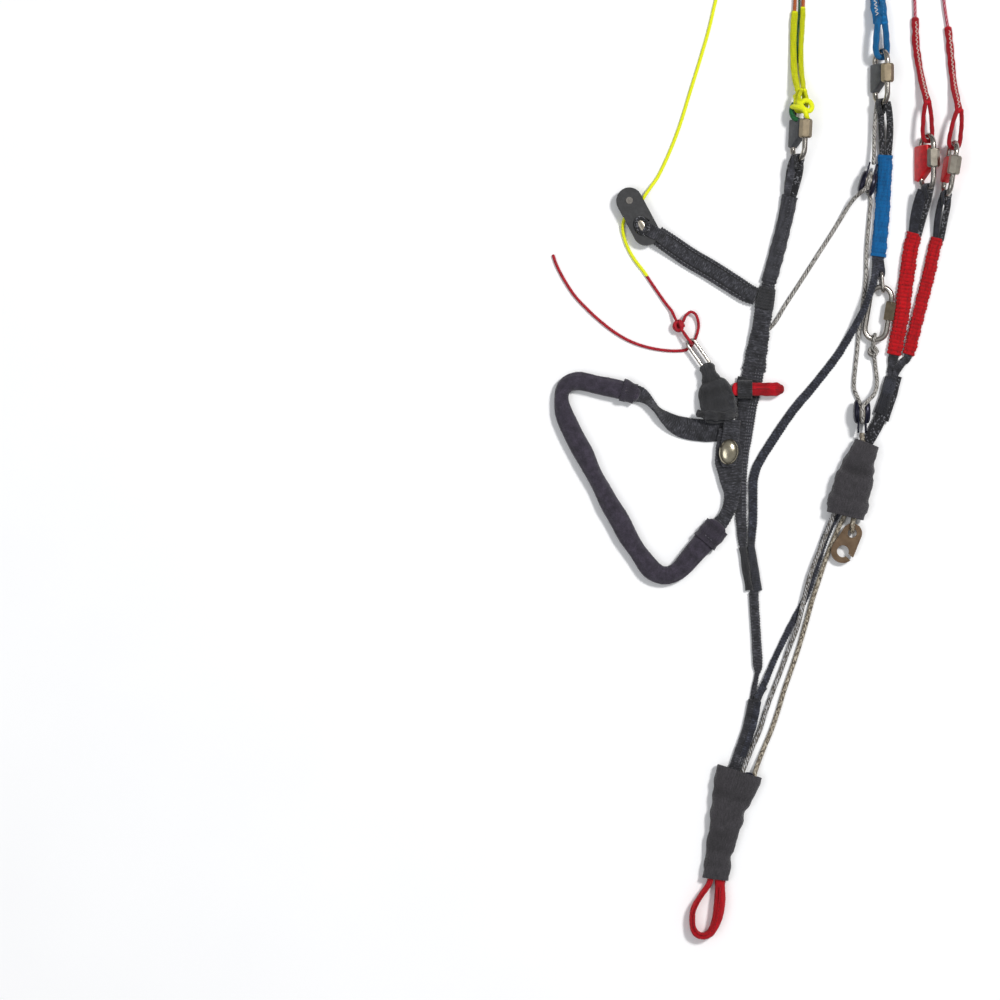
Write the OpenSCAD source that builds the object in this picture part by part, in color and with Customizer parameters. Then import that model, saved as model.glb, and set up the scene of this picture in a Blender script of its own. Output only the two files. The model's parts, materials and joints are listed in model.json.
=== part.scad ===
// Paraglider riser, right-hand side, lying flat on a table.
// X is to the right, Y points along the riser towards the wing, Z is up from the table.
// Millimetres. The origin is on the table, under the middle of the riser.

/* [Quick links] */
// Rod diameter of the steel quick links
rod_d = 3.5; // [3.2:0.1:3.6]
// Distance between the two straight bars of a link, centre to centre
link_gap = 13.8; // [13.4:0.1:14.2]
// Half length of the straight bars
link_half = 10.1; // [10:0.1:10.4]
// Length of the hexagonal nut
nut_len = 12; // [11:0.5:12]
// Width of the nut across its flats
nut_af = 7.2; // [6.6:0.1:7.4]
// Lean of the nut's bar above the table
link_roll = 60; // [58:1:62]

/* [Pulleys] */
// Diameter of the pulley pins
pin_d = 3; // [2.6:0.1:3.2]
// Diameter of the sheaves of the link cord
sheave_d = 10.4; // [10:0.2:10.6]
// Width of every sheave
sheave_w = 3.4; // [3.2:0.1:3.5]
// Thickness of a cheek plate
cheek_t = 1; // [0.8:0.1:1.1]

/* [Soft parts] */
// Diameter of the grey link cord
link_cord_d = 2.4; // [2:0.1:2.5]
// Diameter of the speed cord
speed_cord_d = 2.8; // [2.4:0.1:2.9]
// Diameter of the brake line
brake_line_d = 1.8; // [1.5:0.1:2]
// Thickness of a single webbing
web_t = 1.8; // [1.4:0.1:1.9]

/* [Hook] */
// Thickness of the hook plate
hook_t = 2.2; // [1.8:0.1:2.4]
// Diameter of the hook's eye for its cord
eye_d = 5.8; // [5:0.1:6]
// Diameter of the hook's open hole
catch_d = 7.6; // [7:0.1:7.8]

/* [Hidden] */
$fn = 32;
fit = 0.05;
rod_r = rod_d / 2;
bow_y = link_half + link_gap / 2;
nut_y = 2.5;
wall = 0.8;

// Each link: place of its middle, heading to the right of +Y, roll about its long axis
C_AT = [[28.5, 230.6, 9.8], 3, link_roll];
B_AT = [[80.7, 265.9, 9.8], 0, link_roll];
A1_AT = [[110.1, 211.8, 9.8], 0, link_roll];
A2_AT = [[124.5, 207.4, 10.4], 9, 75];
OVAL_AT = [[79.2, 115.5, 4.4], 9.3, 0];
// Each upright pulley: middle of its sheave, heading of its becket, roll
A_PULLEY = [[68.5, 51.5, 7.2], 180, 0];
B_PULLEY = [[72.5, 199.5, 7.2], 16, 0];
// The two flat pulleys of the speed cord, and the brake pulley
BASE_PULLEY = [-4.4, -182.9, 5.1];
SPEED_PULLEY = [63.6, 7, 6.6];
BRAKE_PULLEY = [-80, 187.5, 4.6];
hook_eye = [62.5, -25];
snap_at = [-16.5, 27];
snap_hinge_y = 47;
peg_y = 67;

// ---- Sweeping: a station is [x, y, z, width, thickness, roll] ----
BAND = [[1, 1], [-1, 1], [-1, -1], [1, -1]];
function circle_of(n) = [for (k = [0 : n - 1]) [cos(k * 360 / n), sin(k * 360 / n)]];
function bulge(v) = sign(v) * pow(abs(v), 0.6);
function oval_of(n) = [for (q = circle_of(n)) [bulge(q.x), bulge(q.y)]];
function unit(v) = v / norm(v);
function place(s) = [s[0], s[1], s[2]];
function between(a, b, c, d, t) =
    0.5 * (2 * b + (c - a) * t + (2 * a - 5 * b + 4 * c - d) * t * t
    + (3 * b - a - 3 * c + d) * t * t * t);
function smooth(p, n) = [for (i = [0 : len(p) - 2]) for (k = [0 : n - 1])
    between(p[max(i - 1, 0)], p[i], p[i + 1], p[min(i + 2, len(p) - 1)], k / n), p[len(p) - 1]];
function slice(p, a, b) = [for (i = [a : b]) p[i]];
function resized(p, w, t) = [for (s = p) [s[0], s[1], s[2], s[3] + w, s[4] + t, s[5]]];
function cord(p, d) = [for (q = p) [q[0], q[1], q[2], d, d, 0]];
function along(r, i) = unit(place(r[min(i + 1, len(r) - 1)]) - place(r[max(i - 1, 0)]));
function ring(r, i, shape, ref) =
    let (t = along(r, i), a = unit(cross(t, ref)), b = cross(a, t),
        c = cos(r[i][5]), s = sin(r[i][5]))
    [for (q = shape) place(r[i]) + (a * c + b * s) * q.x * r[i][3] / 2
        + (b * c - a * s) * q.y * r[i][4] / 2];
function rings(r, shape, ref) = [for (i = [0 : len(r) - 1]) each ring(r, i, shape, ref)];
function skin(n, m, at) = [for (i = [0 : n - 2]) for (k = [0 : m - 1]) let (j = (k + 1) % m)
    [at + i * m + k, at + i * m + j, at + i * m + m + j, at + i * m + m + k]];
function flip(f) = [for (q = f) [q[3], q[2], q[1], q[0]]];
function lip(m, a, b) = [for (k = [0 : m - 1]) let (j = (k + 1) % m) [a + k, b + k, b + j, a + j]];

module sweep(route, shape = BAND, ref = [0, 0, 1]) {
    n = len(route);
    m = len(shape);
    polyhedron(rings(route, shape, ref), concat(skin(n, m, 0),
        [[for (k = [m - 1 : -1 : 0]) k], [for (k = [0 : m - 1]) (n - 1) * m + k]]), 4);
}

// A hollow sleeve: the station gives the outer size, and inner routes are smaller by two walls
module sleeve(route, shape = BAND, thick = wall, ref = [0, 0, 1]) {
    n = len(route);
    m = len(shape);
    hollow = resized(route, -2 * thick, -2 * thick);
    polyhedron(concat(rings(route, shape, ref), rings(hollow, shape, ref)),
        concat(skin(n, m, 0), flip(skin(n, m, n * m)), lip(m, 0, n * m),
        flip(lip(m, (n - 1) * m, (2 * n - 1) * m))), 4);
}

// A round-ended bar outline between y = a and y = b
module slot2d(a, b, w) {
    translate([-w / 2, a + w / 2]) square([w, b - a - w]);
    translate([0, a + w / 2]) circle(w / 2);
    translate([0, b - w / 2]) circle(w / 2);
}

// ---- Quick links ----
module at(p) { translate(p[0]) rotate([0, 0, -p[1]]) rotate([0, -p[2], 0]) children(); }

module bow(side) {
    translate([0, side * link_half, 0]) rotate([0, 0, side > 0 ? 0 : 180])
        rotate_extrude(angle = 180) translate([link_gap / 2, 0]) circle(rod_r);
}

module bar(x, a, b) {
    translate([x, a, 0]) rotate([-90, 0, 0]) cylinder(h = b - a, r = rod_r);
}

// A steel rod bent to a long ring, with a gap that the nut closes
module link_body() {
    bow(1);
    bow(-1);
    bar(-link_gap / 2, -link_half, link_half);
    bar(link_gap / 2, -link_half, 2.8);
    bar(link_gap / 2, 7.2, link_half);
}

module link_nut(af = nut_af, spin = 0) {
    translate([link_gap / 2, nut_y - nut_len / 2, 0]) rotate([-90, 0, 0])
        difference() {
            rotate(spin) cylinder(h = nut_len, d = af / cos(30), $fn = 6);
            translate([0, 0, -1]) cylinder(h = nut_len + 2, r = rod_r + fit);
        }
}

// A plastic clip on the bar opposite the nut, which keeps the webbing in place
module link_insert() {
    translate([-link_gap / 2, -8.6, 0]) rotate([-90, 0, 0])
        difference() {
            intersection() {
                cylinder(h = 17.2, d = 7.6);
                translate([-3.8, -2.9, 0]) cube([7.6, 5.8, 17.2]);
            }
            translate([0, 0, -1]) cylinder(h = 20, r = rod_r + fit);
        }
}

// Folded end of a webbing round the lower bow of a link
module web_eye(w = 6) {
    translate([-w / 2, 0, 0]) rotate([90, 0, 90]) linear_extrude(w)
        rotate(-90) difference() {
            slot2d(-bow_y - 5, -bow_y + 4, rod_d + 2.9);
            slot2d(-bow_y - 2.2, -bow_y + 2.8, rod_d + 0.5);
        }
}

// Loop of a line round the upper bow of a link; the cord bends clear of the rod
function line_eye(d, reach) = let (r = rod_r + d / 2 + 0.45) smooth(cord([
    [0, bow_y + reach, -d / 2 - 0.05], [0, bow_y + reach * 0.62, -r * 0.8],
    [0, bow_y + 2, -r], [0, bow_y - r * 0.7, -r * 0.75], [0, bow_y - r, 0],
    [0, bow_y - r * 0.7, r * 0.75], [0, bow_y + 2, r],
    [0, bow_y + reach * 0.62, r * 0.8], [0, bow_y + reach, d / 2 + 0.05]], d), 3);

// ---- Pulleys, with the sheave's axis along X and the becket towards +Y ----
module cheek_outline(r1, r2, d) {
    tilt = asin((r1 - r2) / d);
    circle(r1);
    translate([0, d]) circle(r2);
    polygon([[r1 * cos(tilt), r1 * sin(tilt)], [r2 * cos(tilt), d + r2 * sin(tilt)],
        [-r2 * cos(tilt), d + r2 * sin(tilt)], [-r1 * cos(tilt), r1 * sin(tilt)]]);
}

module cheeks(r1, r2, d) {
    for (z = [-sheave_w / 2 - 0.15 - cheek_t, sheave_w / 2 + 0.15])
        translate([0, 0, z]) linear_extrude(cheek_t) difference() {
            cheek_outline(r1, r2, d);
            circle(pin_d / 2);
            translate([0, d]) circle(pin_d / 2 - 0.4);
        }
}

module sheave(d, groove) {
    rotate_extrude($fn = 48) difference() {
        translate([pin_d / 2 + fit, -sheave_w / 2]) square([d / 2 - pin_d / 2 - fit, sheave_w]);
        translate([d / 2 + 0.35, 0]) circle(groove / 2);
    }
}

module pin(len) {
    translate([0, 0, -len / 2]) cylinder(h = len, d = pin_d);
    for (s = [-1, 1]) translate([0, 0, s * (len / 2 + 0.25)])
        cylinder(h = 0.5, d = pin_d + 1.4, center = true);
}

module at_upright(p) { at(p) rotate([0, 90, 0]) children(); }
module at_flat(p, heading) { translate(p) rotate([0, 0, -heading]) children(); }

// Points of a half turn of cord round a sheave, in steps of 45 degrees
function turn(p, side, r, steps, up) = [for (k = steps) let (v = k * 45)
    p + side * r * sin(v) + up * r * cos(v)];
function at_z(p, z) = [p.x, p.y, z];

// ---- Routes, as stations of [x, y, z, width, thickness, roll] ----
C_ROUTE = smooth([[-7.2, -33, 1.3, 5, 2.4, 0], [-8.2, -18, 1.3, 7, 2.4, 0],
    [-8.6, 5, 1.3, 7.4, 2.4, 0], [-8, 22, 1.3, 8.6, 2.4, 0], [-6.5, 40, 1.3, 11, 2.4, 0],
    [-5, 54, 1.3, 12.4, 2.4, 0], [-1.6, 73, 1.3, 14, 2.4, 0], [1.8, 92, 2.2, 12.6, 2.4, 0],
    [4, 107, 4, 10.8, 2.4, 0], [7, 124, 3.4, 10.4, 2.4, 0], [9.8, 137, 2.4, 8.2, 2.4, 0],
    [15, 156, 2.2, 7.8, 2.4, 0], [20.4, 178, 2.2, 7.8, 2.4, 0], [22.8, 190, 2.6, 8, 2.4, 5],
    [25.4, 198.5, 6, 8, 2.4, 35], [27.3, 208.5, 9.8, 6, 2.4, 60]], 3);
B_ROUTE = smooth([[-1.9, -32.6, 1.1, 4.4, web_t, 0], [-0.9, -18, 1.1, 5.4, web_t, 0],
    [-0.8, -4, 1.1, 5.6, web_t, 0], [-0.5, 9, 1.1, 5.6, web_t, 0], [3, 20, 1.1, 5.6, web_t, 0],
    [13.5, 37, 1.1, 5.6, web_t, 0], [26, 55, 1.1, 5.4, web_t, 0], [38, 69, 1.1, 5.2, web_t, 0],
    [52, 87, 1.1, 5, web_t, 0], [59, 98, 1.8, 4.8, web_t, 0], [65, 108.5, 4.4, 4.4, web_t, 0],
    [70.2, 119, 7.9, 4.2, web_t, 0], [73.2, 127, 8.1, 4.2, web_t, 0],
    [75.6, 134, 7.6, 4.6, web_t, 0], [77.2, 141.5, 4.8, 4.6, web_t, 0],
    [79, 150, 2.4, 7.4, web_t, 0], [80.6, 165, 2.2, 7.4, web_t, 0],
    [82.2, 185, 2.2, 7.2, web_t, 0], [83.2, 204, 2.2, 7, web_t, 0],
    [84, 218, 2.4, 7, web_t, 0], [84.4, 227, 4, 7.4, web_t, 12],
    [83, 236, 7.4, 7, web_t, 42], [80.7, 243.7, 9.8, 6, web_t, 60]], 3);
A_ROUTE = smooth([[1.8, -130.6, 3.3, 4.4, 1.6, 0], [3.6, -127, 3.3, 4.4, 1.7, 0],
    [7.4, -119, 2.6, 4, web_t, 0], [12.8, -106, 1.3, 3.8, web_t, 0],
    [18.6, -94, 1.1, 3.8, web_t, 0], [25.6, -80, 1.1, 3.8, web_t, 0],
    [33, -66, 1.1, 3.8, web_t, 0], [37.4, -54, 1.1, 3.8, web_t, 0],
    [41, -42.2, 1.1, 4, web_t, 0], [45, -29.4, 1.2, 4.6, web_t, 0],
    [51.8, -14, 2.5, 5, web_t, 0], [57, -3, 2.4, 6.2, web_t, 0], [61, 9, 2.2, 8, web_t, 0],
    [66.5, 22, 2.4, 8, web_t, 0], [71.5, 32, 2.7, 8.2, web_t, 0], [75.2, 38, 2.7, 8, web_t, 0],
    [80.6, 48.5, 2.5, 8, web_t, 0], [84.5, 61, 2.2, 7, web_t, 0],
    [88.3, 74.5, 2.2, 7, web_t, 0]], 3);
A1_ROUTE = smooth([[87, 77.2, 1.3, 5, web_t, 0], [88.2, 83, 1.4, 5.6, web_t, 0],
    [89.3, 89, 2.1, 7, web_t, 0], [94.3, 114, 2.1, 7.2, web_t, 0], [97, 135, 2.1, 7.2, web_t, 0],
    [100, 156, 2.1, 7.2, web_t, 0], [102.6, 167, 2.2, 7.2, web_t, 0],
    [104.8, 176, 4, 8, web_t, 15], [107.8, 183.5, 7.2, 7, web_t, 42],
    [110, 189.5, 9.8, 6, web_t, 60]], 3);
A2_ROUTE = smooth([[90.6, 78, 3.3, 5, 1.6, 0], [94.6, 84, 3.4, 5.2, 1.6, 0],
    [98.6, 89, 2.1, 5.4, web_t, 0], [104.9, 114, 2.1, 5.6, web_t, 0], [110.3, 135, 2.1, 5.6, web_t, 0],
    [115, 156, 2.1, 5.6, web_t, 0], [117, 164, 2.2, 5.6, web_t, 0],
    [118.8, 174, 4.4, 6.6, web_t, 20], [120, 180.5, 8, 6.2, web_t, 52],
    [121, 185.5, 10.4, 6, web_t, 75]], 3);

link_turn = sheave_d / 2 + 0.5;
A_SIDE = [0, -1, 0];
B_SIDE = [sin(B_PULLEY[1]), cos(B_PULLEY[1]), 0];
UP = [0, 0, 1];
LINK_CORD = cord(concat(
    [[76.4, 89.5, 3.2], [77.6, 81, 1.4], [78.4, 71, 3.2], [76.4, 64, 8], [71.6, 59, 12],
    [68.7, 55.5, 12.7]],
    turn(A_PULLEY[0], A_SIDE, link_turn, [0 : 4], UP),
    [[68.4, 55.5, 1.5], [66.4, 61, 1.3], [64, 67, 1.3], [64, 74, 1.3], [65.8, 91, 1.3],
    [67.6, 109.5, 1.3], [69.3, 121, 1.3], [71.4, 137.5, 1.3], [72, 157, 1.3], [73.8, 178, 1.3],
    [74.6, 188, 1.3], [72.8, 193, 1.5], [71.4, 195.7, 1.6]],
    turn(B_PULLEY[0], B_SIDE, link_turn, [4 : -1 : 0], UP),
    [[71.3, 195.5, 12.6], [66.5, 191.5, 10], [61.5, 186, 5], [55, 175.5, 1.8], [48.5, 165, 1.3],
    [42, 155, 1.3], [29.5, 135.5, 1.3], [20, 121, 1.3], [13, 109.5, 1.3], [7, 103.5, 1.3]]),
    link_cord_d);

speed_sheave_d = 7.4;
speed_turn = speed_sheave_d / 2 + 0.35;
SPEED_SIDE = [sin(14), cos(14), 0];
SPEED_RIGHT = [cos(14), -sin(14), 0];
SPEED_CORD = cord(concat(
    [[64.8, -8, 2.9], [63.4, -15, 2.5], [62.6, -19, 1.7], [62.5, -21.6, 1.5],
    [62.5, -23.3, 2.3], [62.5, -24, 4.3], [62.5, -23.3, 6.3], [62.5, -21.6, 7.1],
    [62.7, -19, 7], [63.6, -15, 6.8], [65.6, -7, 6.4], [66.9, 0, 6.4]],
    turn(SPEED_PULLEY, SPEED_SIDE, speed_turn, [0 : 4], SPEED_RIGHT),
    [[57.8, 1.5, 6.3], [54, -6.5, 5.8], [50.4, -14, 5], [44.9, -28, 3.9], [41.8, -36, 3.7],
    [38.7, -43.5, 3.6], [35, -54, 3.6], [31.6, -67.8, 3.6], [27.8, -83.8, 3.6],
    [21.8, -99.8, 2.2], [17.2, -112.6, 1.5], [12.2, -125.4, 1.5], [7.6, -138.2, 1.5],
    [3.6, -151, 1.6], [-1.2, -162, 2], [-5.2, -171.5, 3.8], [-8.1, -179, 5.1]],
    turn(BASE_PULLEY, [0, -1, 0], speed_turn, [0 : 4], [-1, 0, 0]),
    [[0.4, -178, 4.9], [2.8, -171, 3.2], [6.4, -162, 1.7], [11, -151, 1.5], [15.4, -138.2, 1.5],
    [19.2, -125.4, 1.5], [23.7, -112.6, 1.5], [28, -99.8, 1.5], [32.8, -83.8, 1.5],
    [37.2, -67.8, 1.5], [41.4, -55, 1.5], [45.6, -42.2, 1.5], [50.6, -29.4, 1.6],
    [54.2, -21, 2.3], [57.6, -13.4, 3.8], [59.8, -4, 5.2]]),
    speed_cord_d);

A1_LINE = cord([[110.2, 250, 9.3], [108.6, 257, 6.5], [107, 265, 3.4], [105, 276, 2], [103.5, 288, 2],
    [103, 300, 2], [102.8, 312, 2], [102.3, 324, 2], [101.8, 337, 2]], 3.6);
A2_LINE = cord([[130.2, 244.4, 9.8], [129.2, 252, 6.5], [127.8, 260, 3.4], [126.6, 270, 2],
    [125.4, 284, 2], [124, 297, 2], [122, 310, 2], [120.6, 323, 2], [119.2, 337, 2]], 3.6);
B_LINE_L = cord([[79.8, 304, 9.4], [78.2, 312, 6.5], [76.8, 320, 3.6], [75.8, 329, 2.3],
    [75.2, 337, 2.1]], 4);
B_LINE_R = cord([[84.4, 304, 9], [83.4, 312, 6.3], [82.6, 320, 3.6], [82, 329, 2.3],
    [81.6, 337, 2.1]], 4);
C_LINE_L = cord([[27.6, 258, 8.6], [26.2, 265, 5.6], [25.4, 272, 3], [25, 284, 2],
    [25.3, 298, 2], [26, 312, 2], [26.4, 325, 2], [26.6, 337, 2]], 3.6);
C_LINE_R = cord([[31.2, 257.6, 8.6], [30.6, 265, 5.6], [30, 272, 3], [29.8, 284, 2],
    [30.6, 298, 2], [31.2, 312, 2], [31.6, 325, 2], [31.8, 337, 2]], 3.4);
BRAKE_LINE = cord([[-18.5, 337, 1], [-22, 325, 1], [-25, 314, 1], [-29, 297, 1], [-34.5, 278, 1],
    [-41, 257, 1], [-47.5, 236, 1], [-54, 219, 1], [-61, 204, 1.4], [-66, 196.5, 3.2],
    [-70, 190.6, 4.6], [-74, 184, 4.6], [-78.3, 180.9, 4.6], [-82, 178, 4.5], [-84, 172.5, 2.8],
    [-83.6, 166, 1.3], [-81, 158, 1], [-76.5, 150, 1], [-70, 141.5, 1], [-64, 132.5, 1],
    [-57, 122.5, 1.3], [-53, 117.4, 2]], brake_line_d);
TAIL = cord([[-44.4, 91.9, 1], [-52, 91.6, 1], [-62, 92.6, 1], [-72, 95, 1], [-81, 98.6, 1],
    [-90, 104, 1], [-99.5, 111.5, 1], [-107.5, 119, 1], [-114.5, 126.5, 1], [-120, 134.5, 1],
    [-124.5, 142.5, 1], [-127, 148, 1], [-128.5, 152.5, 1]], brake_line_d);

// ---- Webbings ----
module hang_loop() color("crimson") sweep(smooth([[-28.2, -236.6, 4.2, 3.4, 5.4, 0],
    [-28.4, -247.5, 4.3, 3.4, 5.6, 0], [-33.8, -256, 4.6, 3.2, 9, 0], [-39, -265, 4.6, 3.2, 9, 0],
    [-39.6, -275, 4.6, 3.6, 9, 0], [-37.4, -280.6, 4.6, 4, 9, 0], [-32.6, -282.4, 4.6, 4.2, 9, 0],
    [-27.6, -279.6, 4.6, 4.8, 9, 0], [-23.8, -271, 4.6, 6.2, 9, 0], [-22.2, -261, 4.6, 7, 9, 0],
    [-22, -250, 4.3, 6.2, 5.6, 0], [-22.4, -236.6, 4.2, 6, 5.4, 0]], 2));

module main_sleeve() color([0.1, 0.1, 0.11]) sleeve(smooth([[-9.4, -177, 5.2, 29.4, 10.4, 0],
    [-12.7, -187.5, 5.2, 28.2, 10.4, 0], [-16, -199, 4.9, 23, 9.8, 0],
    [-19.5, -215, 4.5, 19.6, 9, 0], [-22.4, -227, 4.3, 17.4, 8.6, 0],
    [-25, -246, 4.3, 17.2, 8.6, 0]], 2), oval_of(16));

module root_web() color([0.12, 0.12, 0.15]) sweep(smooth([[0.3, -131.8, 2, 8.3, 3.6, 0],
    [-3.5, -150, 1.9, 8.3, 3.4, 0], [-10.4, -169, 2.3, 7.4, 2.6, 0], [-14.6, -184, 2.4, 8, 2, 0],
    [-19, -212, 2.7, 8.5, 2.4, 0], [-23.4, -235.6, 3.2, 8.5, 3, 0]], 2));

module c_lower() color([0.13, 0.13, 0.16]) sweep(smooth([[-0.4, -62.7, 1.5, 6, 2.8, 0],
    [0.2, -74, 1.5, 6, 2.8, 0], [1.5, -93, 1.5, 6, 2.8, 0], [2.2, -108, 1.5, 6, 2.8, 0],
    [2.2, -112.5, 1.3, 4.4, 2, 0], [1.6, -116, 1.1, 3, 1.6, 0], [0.2, -124, 1.1, 3, 1.6, 0],
    [-1.2, -131, 1.2, 3, 1.6, 0]], 2));

module c_join_tube() color([0.1, 0.1, 0.12]) sweep(smooth([[-4.6, -33.8, 1.9, 10.4, 3.6, 0],
    [-2.6, -47.5, 1.9, 11, 3.6, 0], [-0.4, -62, 1.9, 11, 3.6, 0]], 2));

module c_web() color([0.13, 0.13, 0.15]) {
    sweep(C_ROUTE);
    at(C_AT) web_eye();
}
module c_cover() color([0.16, 0.16, 0.18])
    sleeve(resized(slice(C_ROUTE, 30, 39), 1.8, 1.8), BAND, 0.75);

// Strap of the brake pulley: an eye round the pulley's end bar, and a collar round the C web
BRAKE_DIR = 30;
module brake_strap() color([0.14, 0.14, 0.17]) {
    translate([-71.4, 171.2, BRAKE_PULLEY.z]) rotate([0, 0, -BRAKE_DIR])
        translate([0, 5, 0]) rotate([90, 0, 0]) linear_extrude(10) difference() {
            translate([-1.2, -4.5]) square([17, 9]);
            translate([0.2, -3.3]) square([13.4, 6.6]);
        }
    sweep(smooth([[-58, 163.2, 4.4, 12, 4.4, 0], [-52, 159.6, 3, 12.6, 3.6, 0],
        [-40, 152.8, 2.2, 12.6, 3.4, 0], [-26, 144.2, 2.2, 12.6, 3.4, 0],
        [-11, 133, 2.4, 12.2, 3.2, 0], [-4, 128, 3, 11, 3.2, 0], [1, 126.2, 3.3, 10.4, 3.2, 0]], 2));
    sleeve(resized(slice(C_ROUTE, 25, 28), 2.4, 2.4), BAND, 1);
}

// A flat tube of elastic across the C web, which holds the handle's peg
module keeper_band() color([0.09, 0.09, 0.1]) translate([-11, peg_y, 6.1])
    rotate([90, 0, 90]) linear_extrude(9.5) rotate(-90) difference() {
        slot2d(-5.8, 5.8, 7);
        slot2d(-4.8, 4.8, 5.4);
    }

module a_web() color([0.13, 0.13, 0.16]) sweep(A_ROUTE);
module a_sleeve() color([0.12, 0.12, 0.13]) sleeve(smooth([[57.8, -14, 6, 24.4, 12, 0],
    [60.5, -3, 6, 25.4, 12, 0], [65, 14, 6, 22.4, 12, 0], [69, 25, 5.8, 18.4, 11.4, 0],
    [71.8, 32.4, 5.2, 15.6, 10, 0]], 2), oval_of(16));
module a_join_tube() color([0.12, 0.13, 0.17])
    sleeve(resized(slice(A_ROUTE, 49, 54), 2.4, 1.8), BAND, 0.75);
module a1_web() color([0.14, 0.14, 0.17]) {
    sweep(A1_ROUTE);
    at(A1_AT) web_eye();
}
module a2_web() color([0.14, 0.14, 0.17]) {
    sweep(A2_ROUTE);
    at(A2_AT) web_eye(5.6);
}
module a_covers() color("red") for (r = [A1_ROUTE, A2_ROUTE])
    sleeve(resized(slice(r, 6, 18), 1.9, 1.9), BAND, 0.8);

// The B web runs from its link to the join, with a small tab for the steel ring
module b_web() color([0.14, 0.14, 0.17]) {
    sweep(B_ROUTE);
    at(B_AT) web_eye();
    translate([81.2, 141.4, 3.75]) linear_extrude(1.3) difference() {
        union() {
            circle(2.6);
            rotate(4) translate([-2.6, 0]) square([5.2, 7.4]);
        }
        circle(1.45);
    }
}
module b_cover() color("royalblue") sleeve(resized(slice(B_ROUTE, 45, 57), 1.9, 1.9), BAND, 0.75);

// ---- Steel links, rings and their nuts ----
module c_link() color("silver") at(C_AT) link_body();
module b_link() color("silver") at(B_AT) link_body();
module a1_link() color("silver") at(A1_AT) link_body();
module a2_link() color("silver") at(A2_AT) link_body();
module oval_link() color("silver") at(OVAL_AT) link_body();
module c_nut() color("tan") at(C_AT) link_nut();
module b_nut() color("tan") at(B_AT) link_nut();
module a1_nut() color("silver") at(A1_AT) link_nut();
module a2_nut() color("silver") at(A2_AT) link_nut();
module oval_nut() color("silver") at(OVAL_AT) link_nut(6.2, 30);
module dark_inserts() color([0.2, 0.2, 0.21]) for (p = [C_AT, B_AT]) at(p) link_insert();
module red_inserts() color("red") for (p = [A1_AT, A2_AT]) at(p) link_insert();

// Small upright ring between the B web's tab and the oval link
module b_ring() color("silver") translate([81.7, 135.4, OVAL_AT[0].z]) rotate([0, 0, 5])
    rotate([0, 90, 0]) for (s = [0, 180]) rotate([0, 0, s]) {
        translate([0, 3.2, 0]) rotate_extrude(angle = 180) translate([3, 0]) circle(1);
        translate([3, -3.2, 0]) rotate([-90, 0, 0]) cylinder(h = 6.4, r = 1);
    }

// ---- Pulleys ----
// Brake pulley: one block, hollowed for the sheave, with a slot for its strap
brake_heading = 152;
module brake_pulley_body() color([0.15, 0.15, 0.15]) difference() {
    at_flat(BRAKE_PULLEY, brake_heading) difference() {
        translate([0, 0, -3]) linear_extrude(6) slot2d(-8.3, 31.4, 16.6);
        translate([-10, -10, -1.8]) cube([20, 23.4, 3.6]);
        translate([0, 0, -5]) cylinder(h = 10, d = pin_d);
    }
    translate([-71.4, 171.2, 0]) rotate([0, 0, -BRAKE_DIR]) translate([-2, -5.4, 0])
        cube([4, 10.8, 12]);
}
module pulley_pins() color("silver") {
    for (p = [A_PULLEY, B_PULLEY]) at_upright(p) pin(sheave_w + 0.3 + 2 * cheek_t);
    at_flat(BASE_PULLEY, 200) pin(sheave_w + 0.3 + 2 * cheek_t);
    at_flat(SPEED_PULLEY, 14) pin(sheave_w + 0.3 + 2 * cheek_t);
    at_flat(BRAKE_PULLEY, brake_heading) pin(6);
}
module link_pulley_cheeks() color([0.1, 0.1, 0.25])
    for (p = [A_PULLEY, B_PULLEY]) at_upright(p) cheeks(6, 3, 9.5);
module speed_pulley_cheeks() color([0.1, 0.1, 0.25]) {
    at_flat(BASE_PULLEY, 200) cheeks(5.1, 2.6, 8.5);
    at_flat(SPEED_PULLEY, 14) cheeks(5.1, 2.6, 8.5);
}
module brake_sheave() color("gainsboro") translate(BRAKE_PULLEY) sheave(10, 2.4);
module a_sheave() color("tan") at_upright(A_PULLEY) sheave(sheave_d, link_cord_d + 0.2);
module b_sheave() color("tan") at_upright(B_PULLEY) sheave(sheave_d, link_cord_d + 0.2);
module base_sheave() color("silver") translate(BASE_PULLEY) sheave(speed_sheave_d, speed_cord_d + 0.2);
module speed_sheave() color("silver") translate(SPEED_PULLEY) sheave(speed_sheave_d, speed_cord_d + 0.2);

// ---- Cords ----
ROUND = circle_of(8);
module link_cord() color("silver") {
    sweep(smooth(LINK_CORD, 2), ROUND, [1, 0, 0]);
    translate([76, 90.4, 3.7]) sphere(3.5);
    at(OVAL_AT) mirror([0, 1, 0]) sweep(line_eye(link_cord_d, 6), ROUND, [1, 0, 0]);
}
module speed_cord() color("tan") sweep(smooth(SPEED_CORD, 2), ROUND, [1, 0.3, 0]);
module pulley_tethers() color("lightgray") {
    sweep(smooth([[68.5, 39.1, 7.4, 3.4, 1.4, 0], [68.6, 35.5, 7.9, 3.4, 1.4, 0],
        [69.2, 31.5, 8.2, 3.4, 1.2, 0]], 2));
    sweep(smooth(cord([[75.9, 211.4, 7.2], [75.9, 216, 7], [75.8, 225, 5.6], [75.7, 235, 5.6],
        [75.6, 243, 6.6]], 2.4), 2), ROUND, [1, 0, 0]);
    sweep(smooth([[-8.5, -194, 4.6, 3, 1.2, 0], [-12, -203, 5, 3, 1, 0],
        [-16.5, -213, 5.3, 3, 1, 0]], 2));
    sweep(smooth([[66.4, 18.3, 6.4, 3, 1.2, 0], [67.4, 23, 6.2, 3, 1.2, 0],
        [68.6, 28, 5.6, 3, 1.2, 0]], 2));
}
module a1_line() color("crimson") {
    sweep(smooth(A1_LINE, 2), ROUND);
    at(A1_AT) sweep(line_eye(2.2, 21), ROUND, [1, 0, 0]);
}
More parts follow.
